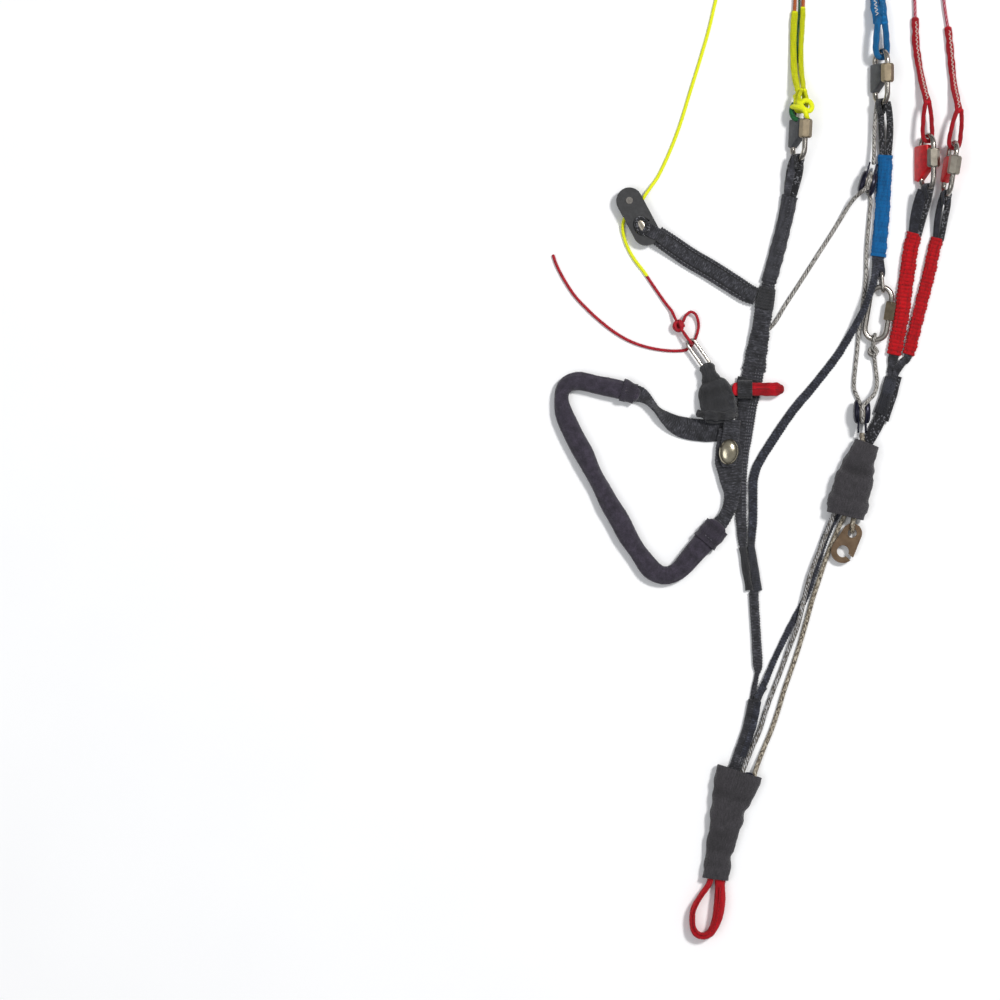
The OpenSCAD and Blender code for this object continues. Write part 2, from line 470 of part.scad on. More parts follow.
module a2_line() color("crimson") {
    sweep(smooth(A2_LINE, 2), ROUND);
    at(A2_AT) sweep(line_eye(2.2, 21), ROUND, [1, 0, 0]);
}
module b_lines() color("dodgerblue") {
    sweep(smooth(B_LINE_L, 2), ROUND);
    sweep(smooth(B_LINE_R, 2), ROUND);
    at(B_AT) sweep(line_eye(2.8, 21), ROUND, [1, 0, 0]);
}
module c_lines() color("yellow") {
    sweep(smooth(C_LINE_L, 2), ROUND);
    sweep(smooth(C_LINE_R, 2), ROUND);
    at(C_AT) for (x = [-1.5, 1.5]) translate([x, 0, 0])
        sweep(line_eye(2.6, 10), ROUND, [1, 0, 0]);
}
module brake_line() color("yellow") sweep(smooth(BRAKE_LINE, 2), ROUND);

// ---- Hook ----
module brummel_hook() color("silver") translate([hook_eye.x, hook_eye.y, 4.3 - hook_t / 2])
    linear_extrude(hook_t) rotate(152.5) difference() {
        cheek_outline(6.3, 7.6, 13);
        circle(eye_d / 2);
        translate([0, 13]) circle(catch_d / 2);
        translate([0, 13]) rotate(-14) translate([-9, -1.2]) square([9, 2.4]);
    }

// ---- Brake handle ----
module rounded(w, h, r) {
    translate([r, 0]) square([w - 2 * r, h]);
    translate([0, r]) square([w, h - 2 * r]);
    for (x = [r, w - r], y = [r, h - r]) translate([x, y]) circle(r);
}
module handle_head() color([0.12, 0.12, 0.13]) translate([-36.4, 48.4, 0.2])
    linear_extrude(8.2) rounded(24, 26.6, 4);
module handle_peg() color("red") translate([-12.2, peg_y, 6.1])
    rotate([90, 0, 90]) linear_extrude(28.8) rotate(-90) slot2d(-4.4, 4.4, 4.9);
module handle_grip() color([0.11, 0.12, 0.16]) sweep(smooth([[-76, 64, 4.6, 12, 7, 0],
    [-86, 67, 4.8, 14, 8.8, 0], [-100, 70, 4.8, 14, 9, 0], [-113, 72, 4.8, 13, 8.8, 0],
    [-121, 69.4, 4.6, 11.5, 8, 0], [-123.6, 62, 4.6, 11.5, 8, 0], [-121, 50, 4.8, 14, 9, 0],
    [-113, 33, 4.8, 15, 9, 0], [-98.5, 5, 4.8, 15, 9, 0], [-80, -28, 4.8, 15, 9, 0],
    [-68.5, -45, 4.8, 14, 9, 0], [-62.5, -50.6, 4.6, 12.5, 8.4, 0], [-56, -52, 4.6, 12.5, 8.4, 0],
    [-49.5, -49.4, 4.8, 13.5, 8.8, 0], [-42, -42.5, 4.8, 15, 9, 0], [-33, -32, 4.8, 16, 9, 0],
    [-23.6, -20.6, 4.4, 16, 7.4, 0]], 2), oval_of(12));
module handle_ribbon() color([0.13, 0.13, 0.15]) {
    sweep(smooth([[-75.2, 63.7, 3.6, 8, 1.6, 0], [-66.5, 58.5, 3.6, 7, 1.6, 30],
        [-60, 52, 4, 6.4, 1.6, 55], [-53, 46.2, 3.4, 9, 1.6, 20], [-44, 41, 1.6, 11, 1.6, 0],
        [-33, 38, 1.1, 11.6, 1.6, 0], [-22, 37.6, 1.1, 11.2, 1.6, 0],
        [-13.4, 39, 1.1, 10, 1.6, 0]], 2));
    sweep(smooth([[-17.4, 31, 3.7, 10.4, 1.3, 0], [-17, 24, 3.7, 10.4, 1.3, 0],
        [-15.8, 10, 3.7, 10.4, 1.3, 0], [-16.8, 0, 3.7, 10.4, 1.3, 0],
        [-19.6, -11, 3.7, 10.4, 1.3, 0], [-22.6, -18, 3.7, 10.4, 1.3, 0]], 2));
}
module snap_stud() color("silver") translate([snap_at.x, snap_at.y, 4.4]) {
    cylinder(h = 0.5, r = 4.5);
    cylinder(h = 2.2, r = 2.3);
}
module snap_flap() color([0.13, 0.13, 0.15]) {
    translate([0, 0, 5.35]) linear_extrude(1.4) difference() {
        union() {
            polygon([[-19.6, snap_hinge_y], [-8.6, snap_hinge_y], [-10.9, 27], [-10.9, 22],
                [-22.1, 22], [-22.1, 27]]);
            translate([-16.5, 22]) circle(5.6);
        }
        translate(snap_at) circle(3.5);
    }
    translate([-19.6, snap_hinge_y, 6.05]) rotate([0, 90, 0]) cylinder(h = 11, r = 1);
}
module snap_cap() color("silver") translate([snap_at.x, snap_at.y, 0]) {
    translate([0, 0, 5.05]) difference() {
        cylinder(h = 1.85, r = 3.4);
        translate([0, 0, -1]) cylinder(h = 2.85, r = 2.36);
    }
    intersection() {
        translate([0, 0, -3.2]) sphere(13, $fn = 64);
        translate([0, 0, 6.85]) cylinder(h = 4, r = 7.5);
    }
}

// Swivel between the brake line's loop and the handle, along its own Y axis
SWIVEL = [[-30, 81.7, 4.8], -35.4, 0];
module swivel_barrel() color("dimgray") at(SWIVEL) translate([0, -6.3, 0]) rotate([-90, 0, 0])
    difference() {
        cylinder(h = 4.8, r = 2.7);
        translate([0, 0, 0.9]) cylinder(h = 6, r = 1 + fit);
    }
module swivel_ring() color("silver") at(SWIVEL) {
    for (s = [0, 1]) translate([0, s ? 17.4 : 2.6, 0]) rotate([0, 0, s ? 0 : 180])
        rotate_extrude(angle = 180) translate([2.6, 0]) circle(1.1);
    for (x = [-2.6, 2.6]) translate([x, 2.6, 0]) rotate([-90, 0, 0]) cylinder(h = 14.8, r = 1.1);
    translate([0, -5.2, 0]) rotate([-90, 0, 0]) cylinder(h = 5.2, r = 1);
}
module brake_knot() color("red") {
    at(SWIVEL) {
        translate([0, 31.6, -0.6]) sphere(3.8);
        sweep(smooth(cord([[0, 29, -1.2], [0, 25, -1.9], [0, 21, -2.4], [0, 18.4, -1.9],
            [0, 17.5, 0], [0, 18.4, 1.9], [0, 21, 2.4], [0, 25, 1.9], [0, 29, 1.2]],
            brake_line_d), 2), ROUND, [1, 0, 0]);
    }
    sweep(smooth(cord([[-49, 109.2, 4.4], [-50.6, 112.2, 3.6], [-51.8, 115, 2.8]],
        brake_line_d), 2), ROUND);
    sweep(smooth(cord([[-45.4, 110.6, 5], [-43.6, 114.4, 4.8], [-40.4, 116.4, 4.2],
        [-37, 114, 3.2], [-35.6, 107.5, 2], [-37.2, 100.5, 1.2], [-39.8, 95.5, 1],
        [-43.9, 92, 1]], brake_line_d), 2), ROUND);
}
module brake_tail() color("red") sweep(smooth(TAIL, 2), ROUND);

hang_loop();
main_sleeve();
root_web();
c_lower();
c_join_tube();
c_web();
c_cover();
brake_strap();
keeper_band();
a_web();
a_sleeve();
a_join_tube();
a1_web();
a2_web();
a_covers();
b_web();
b_cover();
c_link();
b_link();
a1_link();
a2_link();
dark_inserts();
red_inserts();
oval_link();
b_ring();
brake_pulley_body();
pulley_pins();
link_pulley_cheeks();
speed_pulley_cheeks();
link_cord();
speed_cord();
pulley_tethers();
a1_line();
a2_line();
b_lines();
c_lines();
brake_line();
brake_sheave();
a_sheave();
b_sheave();
base_sheave();
speed_sheave();
c_nut();
b_nut();
a1_nut();
a2_nut();
oval_nut();
brummel_hook();
handle_head();
handle_peg();
handle_grip();
handle_ribbon();
snap_stud();
swivel_barrel();
swivel_ring();
brake_knot();
brake_tail();
snap_flap();
snap_cap();
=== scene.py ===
"""A paraglider riser, right-hand side, lying flat on a pale table and seen from above."""

import json
import math

import bmesh
import bpy
import numpy as np
from mathutils import Matrix, Vector
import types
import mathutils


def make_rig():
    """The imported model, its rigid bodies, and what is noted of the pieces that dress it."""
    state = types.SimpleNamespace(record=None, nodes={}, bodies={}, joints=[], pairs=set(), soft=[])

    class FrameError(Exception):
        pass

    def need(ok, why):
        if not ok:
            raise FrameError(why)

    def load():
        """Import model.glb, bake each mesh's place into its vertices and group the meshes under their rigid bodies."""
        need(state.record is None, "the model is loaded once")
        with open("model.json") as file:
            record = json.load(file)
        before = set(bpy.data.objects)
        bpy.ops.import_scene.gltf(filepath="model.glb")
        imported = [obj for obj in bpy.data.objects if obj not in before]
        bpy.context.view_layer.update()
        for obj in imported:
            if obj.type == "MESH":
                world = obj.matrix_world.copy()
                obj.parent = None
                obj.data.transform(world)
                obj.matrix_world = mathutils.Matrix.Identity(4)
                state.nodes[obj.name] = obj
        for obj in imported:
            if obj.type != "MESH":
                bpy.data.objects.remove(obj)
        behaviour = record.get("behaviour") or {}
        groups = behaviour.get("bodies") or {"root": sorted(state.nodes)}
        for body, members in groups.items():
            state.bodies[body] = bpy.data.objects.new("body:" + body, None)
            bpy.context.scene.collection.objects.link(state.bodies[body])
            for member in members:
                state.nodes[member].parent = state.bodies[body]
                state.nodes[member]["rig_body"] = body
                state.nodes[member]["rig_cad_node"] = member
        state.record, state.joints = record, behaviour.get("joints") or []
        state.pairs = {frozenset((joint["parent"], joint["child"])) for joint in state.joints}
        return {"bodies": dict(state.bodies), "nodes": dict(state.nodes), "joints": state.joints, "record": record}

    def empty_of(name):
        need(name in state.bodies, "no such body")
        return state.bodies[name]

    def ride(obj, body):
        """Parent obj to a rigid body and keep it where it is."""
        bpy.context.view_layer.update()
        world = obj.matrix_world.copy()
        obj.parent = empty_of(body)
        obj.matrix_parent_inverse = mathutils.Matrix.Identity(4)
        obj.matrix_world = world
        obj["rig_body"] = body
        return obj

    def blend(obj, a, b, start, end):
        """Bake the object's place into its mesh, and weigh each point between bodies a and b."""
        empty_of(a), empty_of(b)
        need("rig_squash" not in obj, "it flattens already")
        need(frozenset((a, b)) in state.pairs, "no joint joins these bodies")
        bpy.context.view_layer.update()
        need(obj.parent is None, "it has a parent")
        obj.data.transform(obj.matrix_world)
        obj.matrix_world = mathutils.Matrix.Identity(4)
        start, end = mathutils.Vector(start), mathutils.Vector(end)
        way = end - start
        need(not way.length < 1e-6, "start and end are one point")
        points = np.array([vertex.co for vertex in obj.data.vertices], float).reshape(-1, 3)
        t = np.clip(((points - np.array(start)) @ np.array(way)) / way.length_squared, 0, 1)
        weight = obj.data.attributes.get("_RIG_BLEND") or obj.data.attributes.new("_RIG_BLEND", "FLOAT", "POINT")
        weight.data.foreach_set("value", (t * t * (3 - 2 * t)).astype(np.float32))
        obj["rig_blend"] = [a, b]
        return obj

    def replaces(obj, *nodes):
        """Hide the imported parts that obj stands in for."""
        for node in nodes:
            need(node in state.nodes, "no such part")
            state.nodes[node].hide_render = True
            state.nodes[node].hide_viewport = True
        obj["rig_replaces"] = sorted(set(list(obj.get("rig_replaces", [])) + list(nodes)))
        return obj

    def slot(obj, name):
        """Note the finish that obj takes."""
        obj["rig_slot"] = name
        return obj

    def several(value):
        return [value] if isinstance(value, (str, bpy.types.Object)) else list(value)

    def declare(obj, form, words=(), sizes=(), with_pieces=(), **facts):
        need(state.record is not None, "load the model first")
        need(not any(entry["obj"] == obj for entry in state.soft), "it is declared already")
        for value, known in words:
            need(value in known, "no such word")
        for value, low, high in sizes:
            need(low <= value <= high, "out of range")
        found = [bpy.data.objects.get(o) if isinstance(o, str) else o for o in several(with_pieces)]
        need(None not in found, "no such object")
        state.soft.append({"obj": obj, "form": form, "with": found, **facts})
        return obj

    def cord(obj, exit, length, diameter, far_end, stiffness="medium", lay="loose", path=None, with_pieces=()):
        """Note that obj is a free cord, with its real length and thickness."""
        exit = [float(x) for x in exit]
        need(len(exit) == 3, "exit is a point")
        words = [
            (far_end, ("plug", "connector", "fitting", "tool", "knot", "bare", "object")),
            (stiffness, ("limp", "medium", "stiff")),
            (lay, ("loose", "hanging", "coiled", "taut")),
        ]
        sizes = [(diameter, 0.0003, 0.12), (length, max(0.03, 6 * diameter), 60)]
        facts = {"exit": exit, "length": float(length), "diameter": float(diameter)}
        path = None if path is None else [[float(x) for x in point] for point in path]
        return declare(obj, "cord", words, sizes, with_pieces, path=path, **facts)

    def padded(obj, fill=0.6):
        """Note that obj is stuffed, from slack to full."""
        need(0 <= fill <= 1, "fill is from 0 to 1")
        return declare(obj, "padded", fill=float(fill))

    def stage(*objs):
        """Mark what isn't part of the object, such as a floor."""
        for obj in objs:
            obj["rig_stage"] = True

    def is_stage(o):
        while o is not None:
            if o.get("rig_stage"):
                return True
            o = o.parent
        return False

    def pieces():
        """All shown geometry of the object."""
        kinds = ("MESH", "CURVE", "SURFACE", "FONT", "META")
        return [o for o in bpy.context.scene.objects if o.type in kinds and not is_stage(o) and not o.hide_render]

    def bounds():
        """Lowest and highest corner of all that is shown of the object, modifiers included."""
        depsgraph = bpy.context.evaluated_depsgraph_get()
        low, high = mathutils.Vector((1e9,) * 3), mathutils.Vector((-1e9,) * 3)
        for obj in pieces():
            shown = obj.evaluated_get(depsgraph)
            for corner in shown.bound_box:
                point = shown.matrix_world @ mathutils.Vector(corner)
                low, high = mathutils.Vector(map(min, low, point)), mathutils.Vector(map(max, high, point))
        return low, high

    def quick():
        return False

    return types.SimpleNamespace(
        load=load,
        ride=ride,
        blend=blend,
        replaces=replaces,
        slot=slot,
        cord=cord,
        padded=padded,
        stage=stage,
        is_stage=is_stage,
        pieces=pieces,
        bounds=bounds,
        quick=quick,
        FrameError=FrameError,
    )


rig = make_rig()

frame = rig.load()
nodes = frame["nodes"]
cad_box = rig.bounds()
MM = 0.001


def put(name, data):
    """A new object in the scene."""
    obj = bpy.data.objects.new(name, data)
    bpy.context.scene.collection.objects.link(obj)
    return obj


# ---- Camera and light ----
SENSOR = 36
VIEW_WIDTH = 0.64
VIEW_CENTRE = (-0.1626, -0.0038)
CAMERA_HEIGHT = 3.2


def make_camera():
    data = bpy.data.cameras.new("camera")
    data.sensor_width = SENSOR
    data.lens = SENSOR * CAMERA_HEIGHT / VIEW_WIDTH
    data.clip_end = 20
    camera = put("camera", data)
    camera.location = (*VIEW_CENTRE, CAMERA_HEIGHT)
    bpy.context.scene.camera = camera


def make_light(name, place, target, size, power, colour):
    data = bpy.data.lights.new(name, "AREA")
    data.shape = "DISK"
    data.size = size
    data.energy = power
    data.color = colour
    lamp = put(name, data)
    lamp.location = place
    lamp.rotation_euler = (Vector(target) - Vector(place)).to_track_quat("-Z", "Y").to_euler()


def make_studio():
    """A sky that grows lighter upwards, a key light and a wide, weak top light."""
    world = bpy.data.worlds.new("studio")
    world.use_nodes = True
    tree = world.node_tree
    place = tree.nodes.new("ShaderNodeTexCoord")
    split = tree.nodes.new("ShaderNodeSeparateXYZ")
    ramp = tree.nodes.new("ShaderNodeValToRGB")
    tree.links.new(place.outputs["Generated"], split.inputs[0])
    tree.links.new(split.outputs[2], ramp.inputs[0])
    tree.links.new(ramp.outputs[0], tree.nodes["Background"].inputs[0])
    low, high = ramp.color_ramp.elements
    low.position = 0.05
    low.color = (0.16, 0.16, 0.17, 1)
    high.position = 0.75
    high.color = (0.95, 0.97, 1, 1)
    tree.nodes["Background"].inputs[1].default_value = 0.46
    bpy.context.scene.world = world
    make_light("key", (1.5, 1.2, 3.0), (-0.05, 0, 0), 0.6, 86, (1, 0.99, 0.975))
    make_light("top", (-1.4, -0.5, 3.0), (-0.05, 0, 0), 1.8, 21, (0.96, 0.98, 1))
    bpy.context.scene.view_settings.view_transform = "Standard"


# ---- Routes: a point is x, y, z, width, thickness, roll, in millimetres and degrees ----
def pts(thick, *rows):
    """Route points. A row is x, y, z and width, with its own thickness and roll only where they differ."""
    return [[*row[:4], *(row[4:] or (thick,)), 0][:6] for row in rows]


# A link's rod, half the length between its bows, and the straps' usual thickness
ROD = 3.5
BOW = 17.0
WEB = 1.8
# Each link's and the swivel's middle, heading and roll
C_AT = ((28.5, 230.6, 9.8), 3, 60)
B_AT = ((80.7, 265.9, 9.8), 0, 60)
A1_AT = ((110.1, 211.8, 9.8), 0, 60)
A2_AT = ((124.5, 207.4, 10.4), 9, 75)
OVAL_AT = ((79.2, 115.5, 4.4), 9.3, 0)
SWIVEL_AT = ((-30, 81.7, 4.8), -35.4, 0)
A_PULLEY = (68.5, 51.5, 7.2)
B_PULLEY = (72.5, 199.5, 7.2)
B_HEADING = math.radians(16)
BASE_PULLEY = (-4.4, -182.9, 5.1)
SPEED_PULLEY = (63.6, 7, 6.6)

C_ROUTE = pts(2.4, (-7.2, -33, 1.3, 5), (-8.2, -18, 1.3, 7), (-8.6, 5, 1.3, 7.4), (-8, 22, 1.3, 8.6),
    (-6.5, 40, 1.3, 11), (-5, 54, 1.3, 12.4), (-1.6, 73, 1.3, 14), (1.8, 92, 2.2, 12.6), (4, 107, 4, 10.8),
    (7, 124, 3.4, 10.4), (9.8, 137, 2.4, 8.2), (15, 156, 2.2, 7.8), (20.4, 178, 2.2, 7.8),
    (22.8, 190, 2.6, 8, 2.4, 5), (25.4, 198.5, 6, 8, 2.4, 35), (27.3, 208.5, 9.8, 6, 2.4, 60))
B_ROUTE = pts(WEB, (-1.9, -32.6, 1.1, 4.4), (-0.9, -18, 1.1, 5.4), (-0.8, -4, 1.1, 5.6),
    (-0.5, 9, 1.1, 5.6), (3, 20, 1.1, 5.6), (13.5, 37, 1.1, 5.6), (26, 55, 1.1, 5.4), (38, 69, 1.1, 5.2),
    (52, 87, 1.1, 5), (59, 98, 1.8, 4.8), (65, 108.5, 4.4, 4.4), (70.2, 119, 7.9, 4.2),
    (73.2, 127, 8.1, 4.2), (75.6, 134, 7.6, 4.6), (77.2, 141.5, 4.8, 4.6), (79, 150, 2.4, 7.4),
    (80.6, 165, 2.2, 7.4), (82.2, 185, 2.2, 7.2), (83.2, 204, 2.2, 7), (84, 218, 2.4, 7),
    (84.4, 227, 4, 7.4, WEB, 12), (83, 236, 7.4, 7, WEB, 42), (80.7, 243.7, 9.8, 6, WEB, 60))
A_ROUTE = pts(WEB, (1.8, -130.6, 3.3, 4.4, 1.6), (3.6, -127, 3.3, 4.4, 1.7), (7.4, -119, 2.6, 4),
    (12.8, -106, 1.3, 3.8), (18.6, -94, 1.1, 3.8), (25.6, -80, 1.1, 3.8), (33, -66, 1.1, 3.8),
    (37.4, -54, 1.1, 3.8), (41, -42.2, 1.1, 4), (45, -29.4, 1.2, 4.6), (51.8, -14, 2.5, 5),
    (57, -3, 2.4, 6.2), (61, 9, 2.2, 8), (66.5, 22, 2.4, 8), (71.5, 32, 2.7, 8.2), (75.2, 38, 2.7, 8),
    (80.6, 48.5, 2.5, 8), (84.5, 61, 2.2, 7), (88.3, 74.5, 2.2, 7))
A1_ROUTE = pts(WEB, (87, 77.2, 1.3, 5), (88.2, 83, 1.4, 5.6), (89.3, 89, 2.1, 7), (94.3, 114, 2.1, 7.2),
    (97, 135, 2.1, 7.2), (100, 156, 2.1, 7.2), (102.6, 167, 2.2, 7.2), (104.8, 176, 4, 8, WEB, 15),
    (107.8, 183.5, 7.2, 7, WEB, 42), (110, 189.5, 9.8, 6, WEB, 60))
A2_ROUTE = pts(WEB, (90.6, 78, 3.3, 5, 1.6), (94.6, 84, 3.4, 5.2, 1.6), (98.6, 89, 2.1, 5.4),
    (104.9, 114, 2.1, 5.6), (110.3, 135, 2.1, 5.6), (115, 156, 2.1, 5.6), (117, 164, 2.2, 5.6),
    (118.8, 174, 4.4, 6.6, WEB, 20), (120, 180.5, 8, 6.2, WEB, 52), (121, 185.5, 10.4, 6, WEB, 75))
A1_LINE = [[110.2, 250, 9.3], [108.6, 257, 6.5], [107, 265, 3.4], [105, 276, 2], [103.5, 288, 2],
    [103, 300, 2], [102.8, 312, 2], [102.3, 324, 2], [101.8, 337, 2]]
A2_LINE = [[130.2, 244.4, 9.8], [129.2, 252, 6.5], [127.8, 260, 3.4], [126.6, 270, 2], [125.4, 284, 2],
    [124, 297, 2], [122, 310, 2], [120.6, 323, 2], [119.2, 337, 2]]
B_LINE_L = [[78.2, 301, 9.6], [77.4, 306, 8.6], [76.7, 312, 6.5], [76.2, 320, 3.6], [75.8, 329, 2.3],
    [75.4, 337, 2.1]]
B_LINE_R = [[82.6, 301, 9.4], [82, 306, 8.4], [81.7, 312, 6.3], [81.4, 320, 3.6], [81.2, 329, 2.3],
    [81, 337, 2.1]]
C_LINE_L = [[27.6, 258, 8.6], [26.2, 265, 5.6], [25.4, 272, 3], [25, 284, 2], [25.3, 298, 2], [26, 312, 2],
    [26.4, 325, 2], [26.6, 337, 2]]
C_LINE_R = [[31.2, 257.6, 8.6], [30.6, 265, 5.6], [30, 272, 3], [29.8, 284, 2], [30.6, 298, 2],
    [31.2, 312, 2], [31.6, 325, 2], [31.8, 337, 2]]
BRAKE_LINE = [[-18.5, 337, 1], [-22, 325, 1], [-25, 314, 1], [-29, 297, 1], [-34.5, 278, 1], [-41, 257, 1],
    [-47.5, 236, 1], [-54, 219, 1], [-61, 204, 1.4], [-66, 196.5, 3.2], [-70, 190.6, 4.6], [-74, 184, 4.6],
    [-78.3, 180.9, 4.6], [-82, 178, 4.5], [-84, 172.5, 2.8], [-83.6, 166, 1.3], [-81, 158, 1],
    [-76.5, 150, 1], [-70, 141.5, 1], [-64, 132.5, 1], [-57, 122.5, 1.3], [-53, 117.4, 2]]
TAIL = [[-44.4, 91.9, 1], [-52, 91.6, 1], [-62, 92.6, 1], [-72, 95, 1], [-81, 98.6, 1], [-90, 104, 1],
    [-99.5, 111.5, 1], [-107.5, 119, 1], [-114.5, 126.5, 1], [-120, 134.5, 1], [-124.5, 142.5, 1],
    [-127, 148, 1], [-128.5, 152.5, 1]]


def half_turn(centre, forward, radius, steps, up):
    """Points round a sheave, in steps of 45 degrees."""
    c, f, u = (np.array(v, float) for v in (centre, forward, up))
    angles = [math.radians(45 * k) for k in steps]
    return [list(c + f * radius * math.sin(v) + u * radius * math.cos(v)) for v in angles]


# How far each cord's middle runs from its sheave's axis
SHEAVE_TURN = 5.7
SPEED_TURN = 4.05
LINK_CORD = [[76.4, 89.5, 3.2], [77.6, 81, 1.4], [78.4, 71, 3.2], [76.4, 64, 8], [71.6, 59, 12],
    [68.7, 55.5, 12.7], *half_turn(A_PULLEY, (0, -1, 0), SHEAVE_TURN, range(5), (0, 0, 1)),
    [68.4, 55.5, 1.5], [66.4, 61, 1.3], [64, 67, 1.3], [64, 74, 1.3], [65.8, 91, 1.3], [67.6, 109.5, 1.3],
    [69.3, 121, 1.3], [71.4, 137.5, 1.3], [72, 157, 1.3], [73.8, 178, 1.3], [74.6, 188, 1.3],
    [72.8, 193, 1.5], [71.4, 195.7, 1.6],
    *half_turn(B_PULLEY, (math.sin(B_HEADING), math.cos(B_HEADING), 0), SHEAVE_TURN,
        range(4, -1, -1), (0, 0, 1)), [71.3, 195.5, 12.6], [66.5, 191.5, 10], [61.5, 186, 5],
    [55, 175.5, 1.8], [48.5, 165, 1.3], [42, 155, 1.3], [29.5, 135.5, 1.3], [20, 121, 1.3],
    [13, 109.5, 1.3], [7, 103.5, 1.3]]
LEAN = math.radians(14)
SPEED_CORD_HOOK = [[64.8, -8, 2.9], [63.4, -15, 2.5], [62.6, -19, 1.7], [62.5, -21.6, 1.5],
    [62.5, -23.3, 2.3], [62.5, -24, 4.3], [62.5, -23.3, 6.3], [62.5, -21.6, 7.1], [62.7, -19, 7],
    [63.6, -15, 6.8], [65.6, -7, 6.4], [66.9, 0, 6.4], *half_turn(SPEED_PULLEY,
    (math.sin(LEAN), math.cos(LEAN), 0), SPEED_TURN, range(5), (math.cos(LEAN), -math.sin(LEAN), 0))]
SPEED_CORD_LEFT = [[57.8, 1.5, 6.3], [54, -6.5, 5.8], [50.4, -14, 5], [44.9, -28, 3.9], [41.8, -36, 3.7],
    [38.7, -43.5, 3.6], [35, -54, 3.6], [31.6, -67.8, 3.6], [27.8, -83.8, 3.6], [21.8, -99.8, 2.2],
    [17.2, -112.6, 1.5], [12.2, -125.4, 1.5], [7.6, -138.2, 1.5], [3.6, -151, 1.6], [-1.2, -162, 2],
    [-5.2, -171.5, 3.8], [-8.1, -179, 5.1]]
SPEED_CORD_BASE = half_turn(BASE_PULLEY, (0, -1, 0), SPEED_TURN, range(5), (-1, 0, 0))
SPEED_CORD_RIGHT = [[0.4, -178, 4.9], [2.8, -171, 3.2], [6.4, -162, 1.7], [11, -151, 1.5],
    [15.4, -138.2, 1.5], [19.2, -125.4, 1.5], [23.7, -112.6, 1.5], [28, -99.8, 1.5], [32.8, -83.8, 1.5],
    [37.2, -67.8, 1.5], [41.4, -55, 1.5], [45.6, -42.2, 1.5], [50.6, -29.4, 1.6], [54.2, -21, 2.3],
    [57.6, -13.4, 3.8], [59.8, -4, 5.2]]


def eye_route(d, reach):
    """A line's loop round a link's upper bow, in the link's own frame."""
    r = ROD / 2 + d / 2 + 0.45
    rise = [(reach, d / 2 + 0.05), (reach * 0.62, r * 0.8), (2, r), (-r * 0.7, r * 0.75)]
    down = [[0, BOW + y, -z] for y, z in rise]
    return down + [[0, BOW - r, 0]] + [[0, p[1], -p[2]] for p in reversed(down)]


def loop_points(points, at=None):
    """The route's points in millimetres, moved from a link's own frame to the table's."""
    p = np.array(points, float)
    if at is None:
        return p
    m = link_matrix(at)
    moved = p.copy()
    moved[:, :3] = p[:, :3] @ np.array(m.to_3x3()).T + np.array(m.translation)
    return moved


def link_matrix(at):
    """From a link's own frame, with its bows along Y, to the table's."""
    place, heading, roll = at
    return (Matrix.Translation(place) @ Matrix.Rotation(math.radians(-heading), 4, "Z")
        @ Matrix.Rotation(math.radians(-roll), 4, "Y"))


# ---- Lofts: an outline carried along a route ----
def spline(points, n):
    """A Catmull-Rom curve through the points, n steps to each stretch."""
    p = np.array(points, float)
    t = (np.arange(n) / n)[:, None]
    out = []
    for i in range(len(p) - 1):
        a, b, c, d = p[max(i - 1, 0)], p[i], p[i + 1], p[min(i + 2, len(p) - 1)]
        out.append(0.5 * (2 * b + (c - a) * t + (2 * a - 5 * b + 4 * c - d) * t ** 2
            + (3 * b - a - 3 * c + d) * t ** 3))
    return np.vstack([*out, p[-1:]])


def unit(v):
    return v / np.maximum(np.linalg.norm(v, axis=-1, keepdims=True), 1e-12)


class Route:
    """Evenly spaced places along a curve, each with a size and two cross directions, in metres."""

    def __init__(self, points, step=0.5, size=None, side=None, carry=False, part=None, grow=(0, 0)):
        raw = np.array(points, float)
        # A bare path takes its width and thickness from size
        if raw.shape[1] == 3:
            raw = np.hstack([raw, np.tile([*size, 0], (len(raw), 1))])
        fine = spline(raw, 20)
        number = np.linspace(0, len(raw) - 1, len(fine))
        if part:
            kept = (number >= part[0] - 1e-6) & (number <= part[1] + 1e-6)
            fine, number = fine[kept], number[kept]
        reach = np.concatenate([[0], np.cumsum(np.linalg.norm(np.diff(fine[:, :3], axis=0), axis=1))])
        count = max(6, int(round(reach[-1] / step)) + 1)
        even = np.linspace(0, reach[-1], count)
        q = np.stack([np.interp(even, reach, fine[:, k]) for k in range(6)], axis=1)
        self.s, self.p = even * MM, q[:, :3] * MM
        self.w, self.t = (q[:, 3] + grow[0]) * MM, (q[:, 4] + grow[1]) * MM
        self.length = self.s[-1]
        self.along = unit(np.gradient(self.p, axis=0))
        if carry:
            self.a = self.carried()
        elif side is not None:
            s = np.array(side, float)
            self.a = unit(s - self.along * (self.along @ s)[:, None])
        else:
            self.a = unit(np.cross(self.along, (0, 0, 1)))
        self.b = np.cross(self.a, self.along)
        roll = np.radians(q[:, 5])[:, None]
        a, b = self.a, self.b
        self.a, self.b = a * np.cos(roll) + b * np.sin(roll), b * np.cos(roll) - a * np.sin(roll)

    def carried(self):
        """Cross directions that turn no more than the curve makes them."""
        a = np.cross(self.along[0], (0, 0, 1))
        if np.linalg.norm(a) < 0.2:
            a = np.cross(self.along[0], (1, 0, 0))
        out = []
        for t in self.along:
            a = a - t * (a @ t)
            a = a / np.linalg.norm(a)
            out.append(a)
        return np.array(out)

    def on_top(self, s, across, lift=0.0):
        """Points on the upper face at distance s along and a share across, from -1 to 1."""
        s, across = np.broadcast_arrays(np.asarray(s, float), np.asarray(across, float))
        pick = [np.stack([np.interp(s, self.s, v[:, k]) for k in range(3)], -1)
            for v in (self.p, self.a, self.b)]
        w, t = np.interp(s, self.s, self.w), np.interp(s, self.s, self.t)
        return (pick[0] + pick[1] * (across * w / 2)[..., None] + pick[2] * (t / 2 + lift)[..., None])


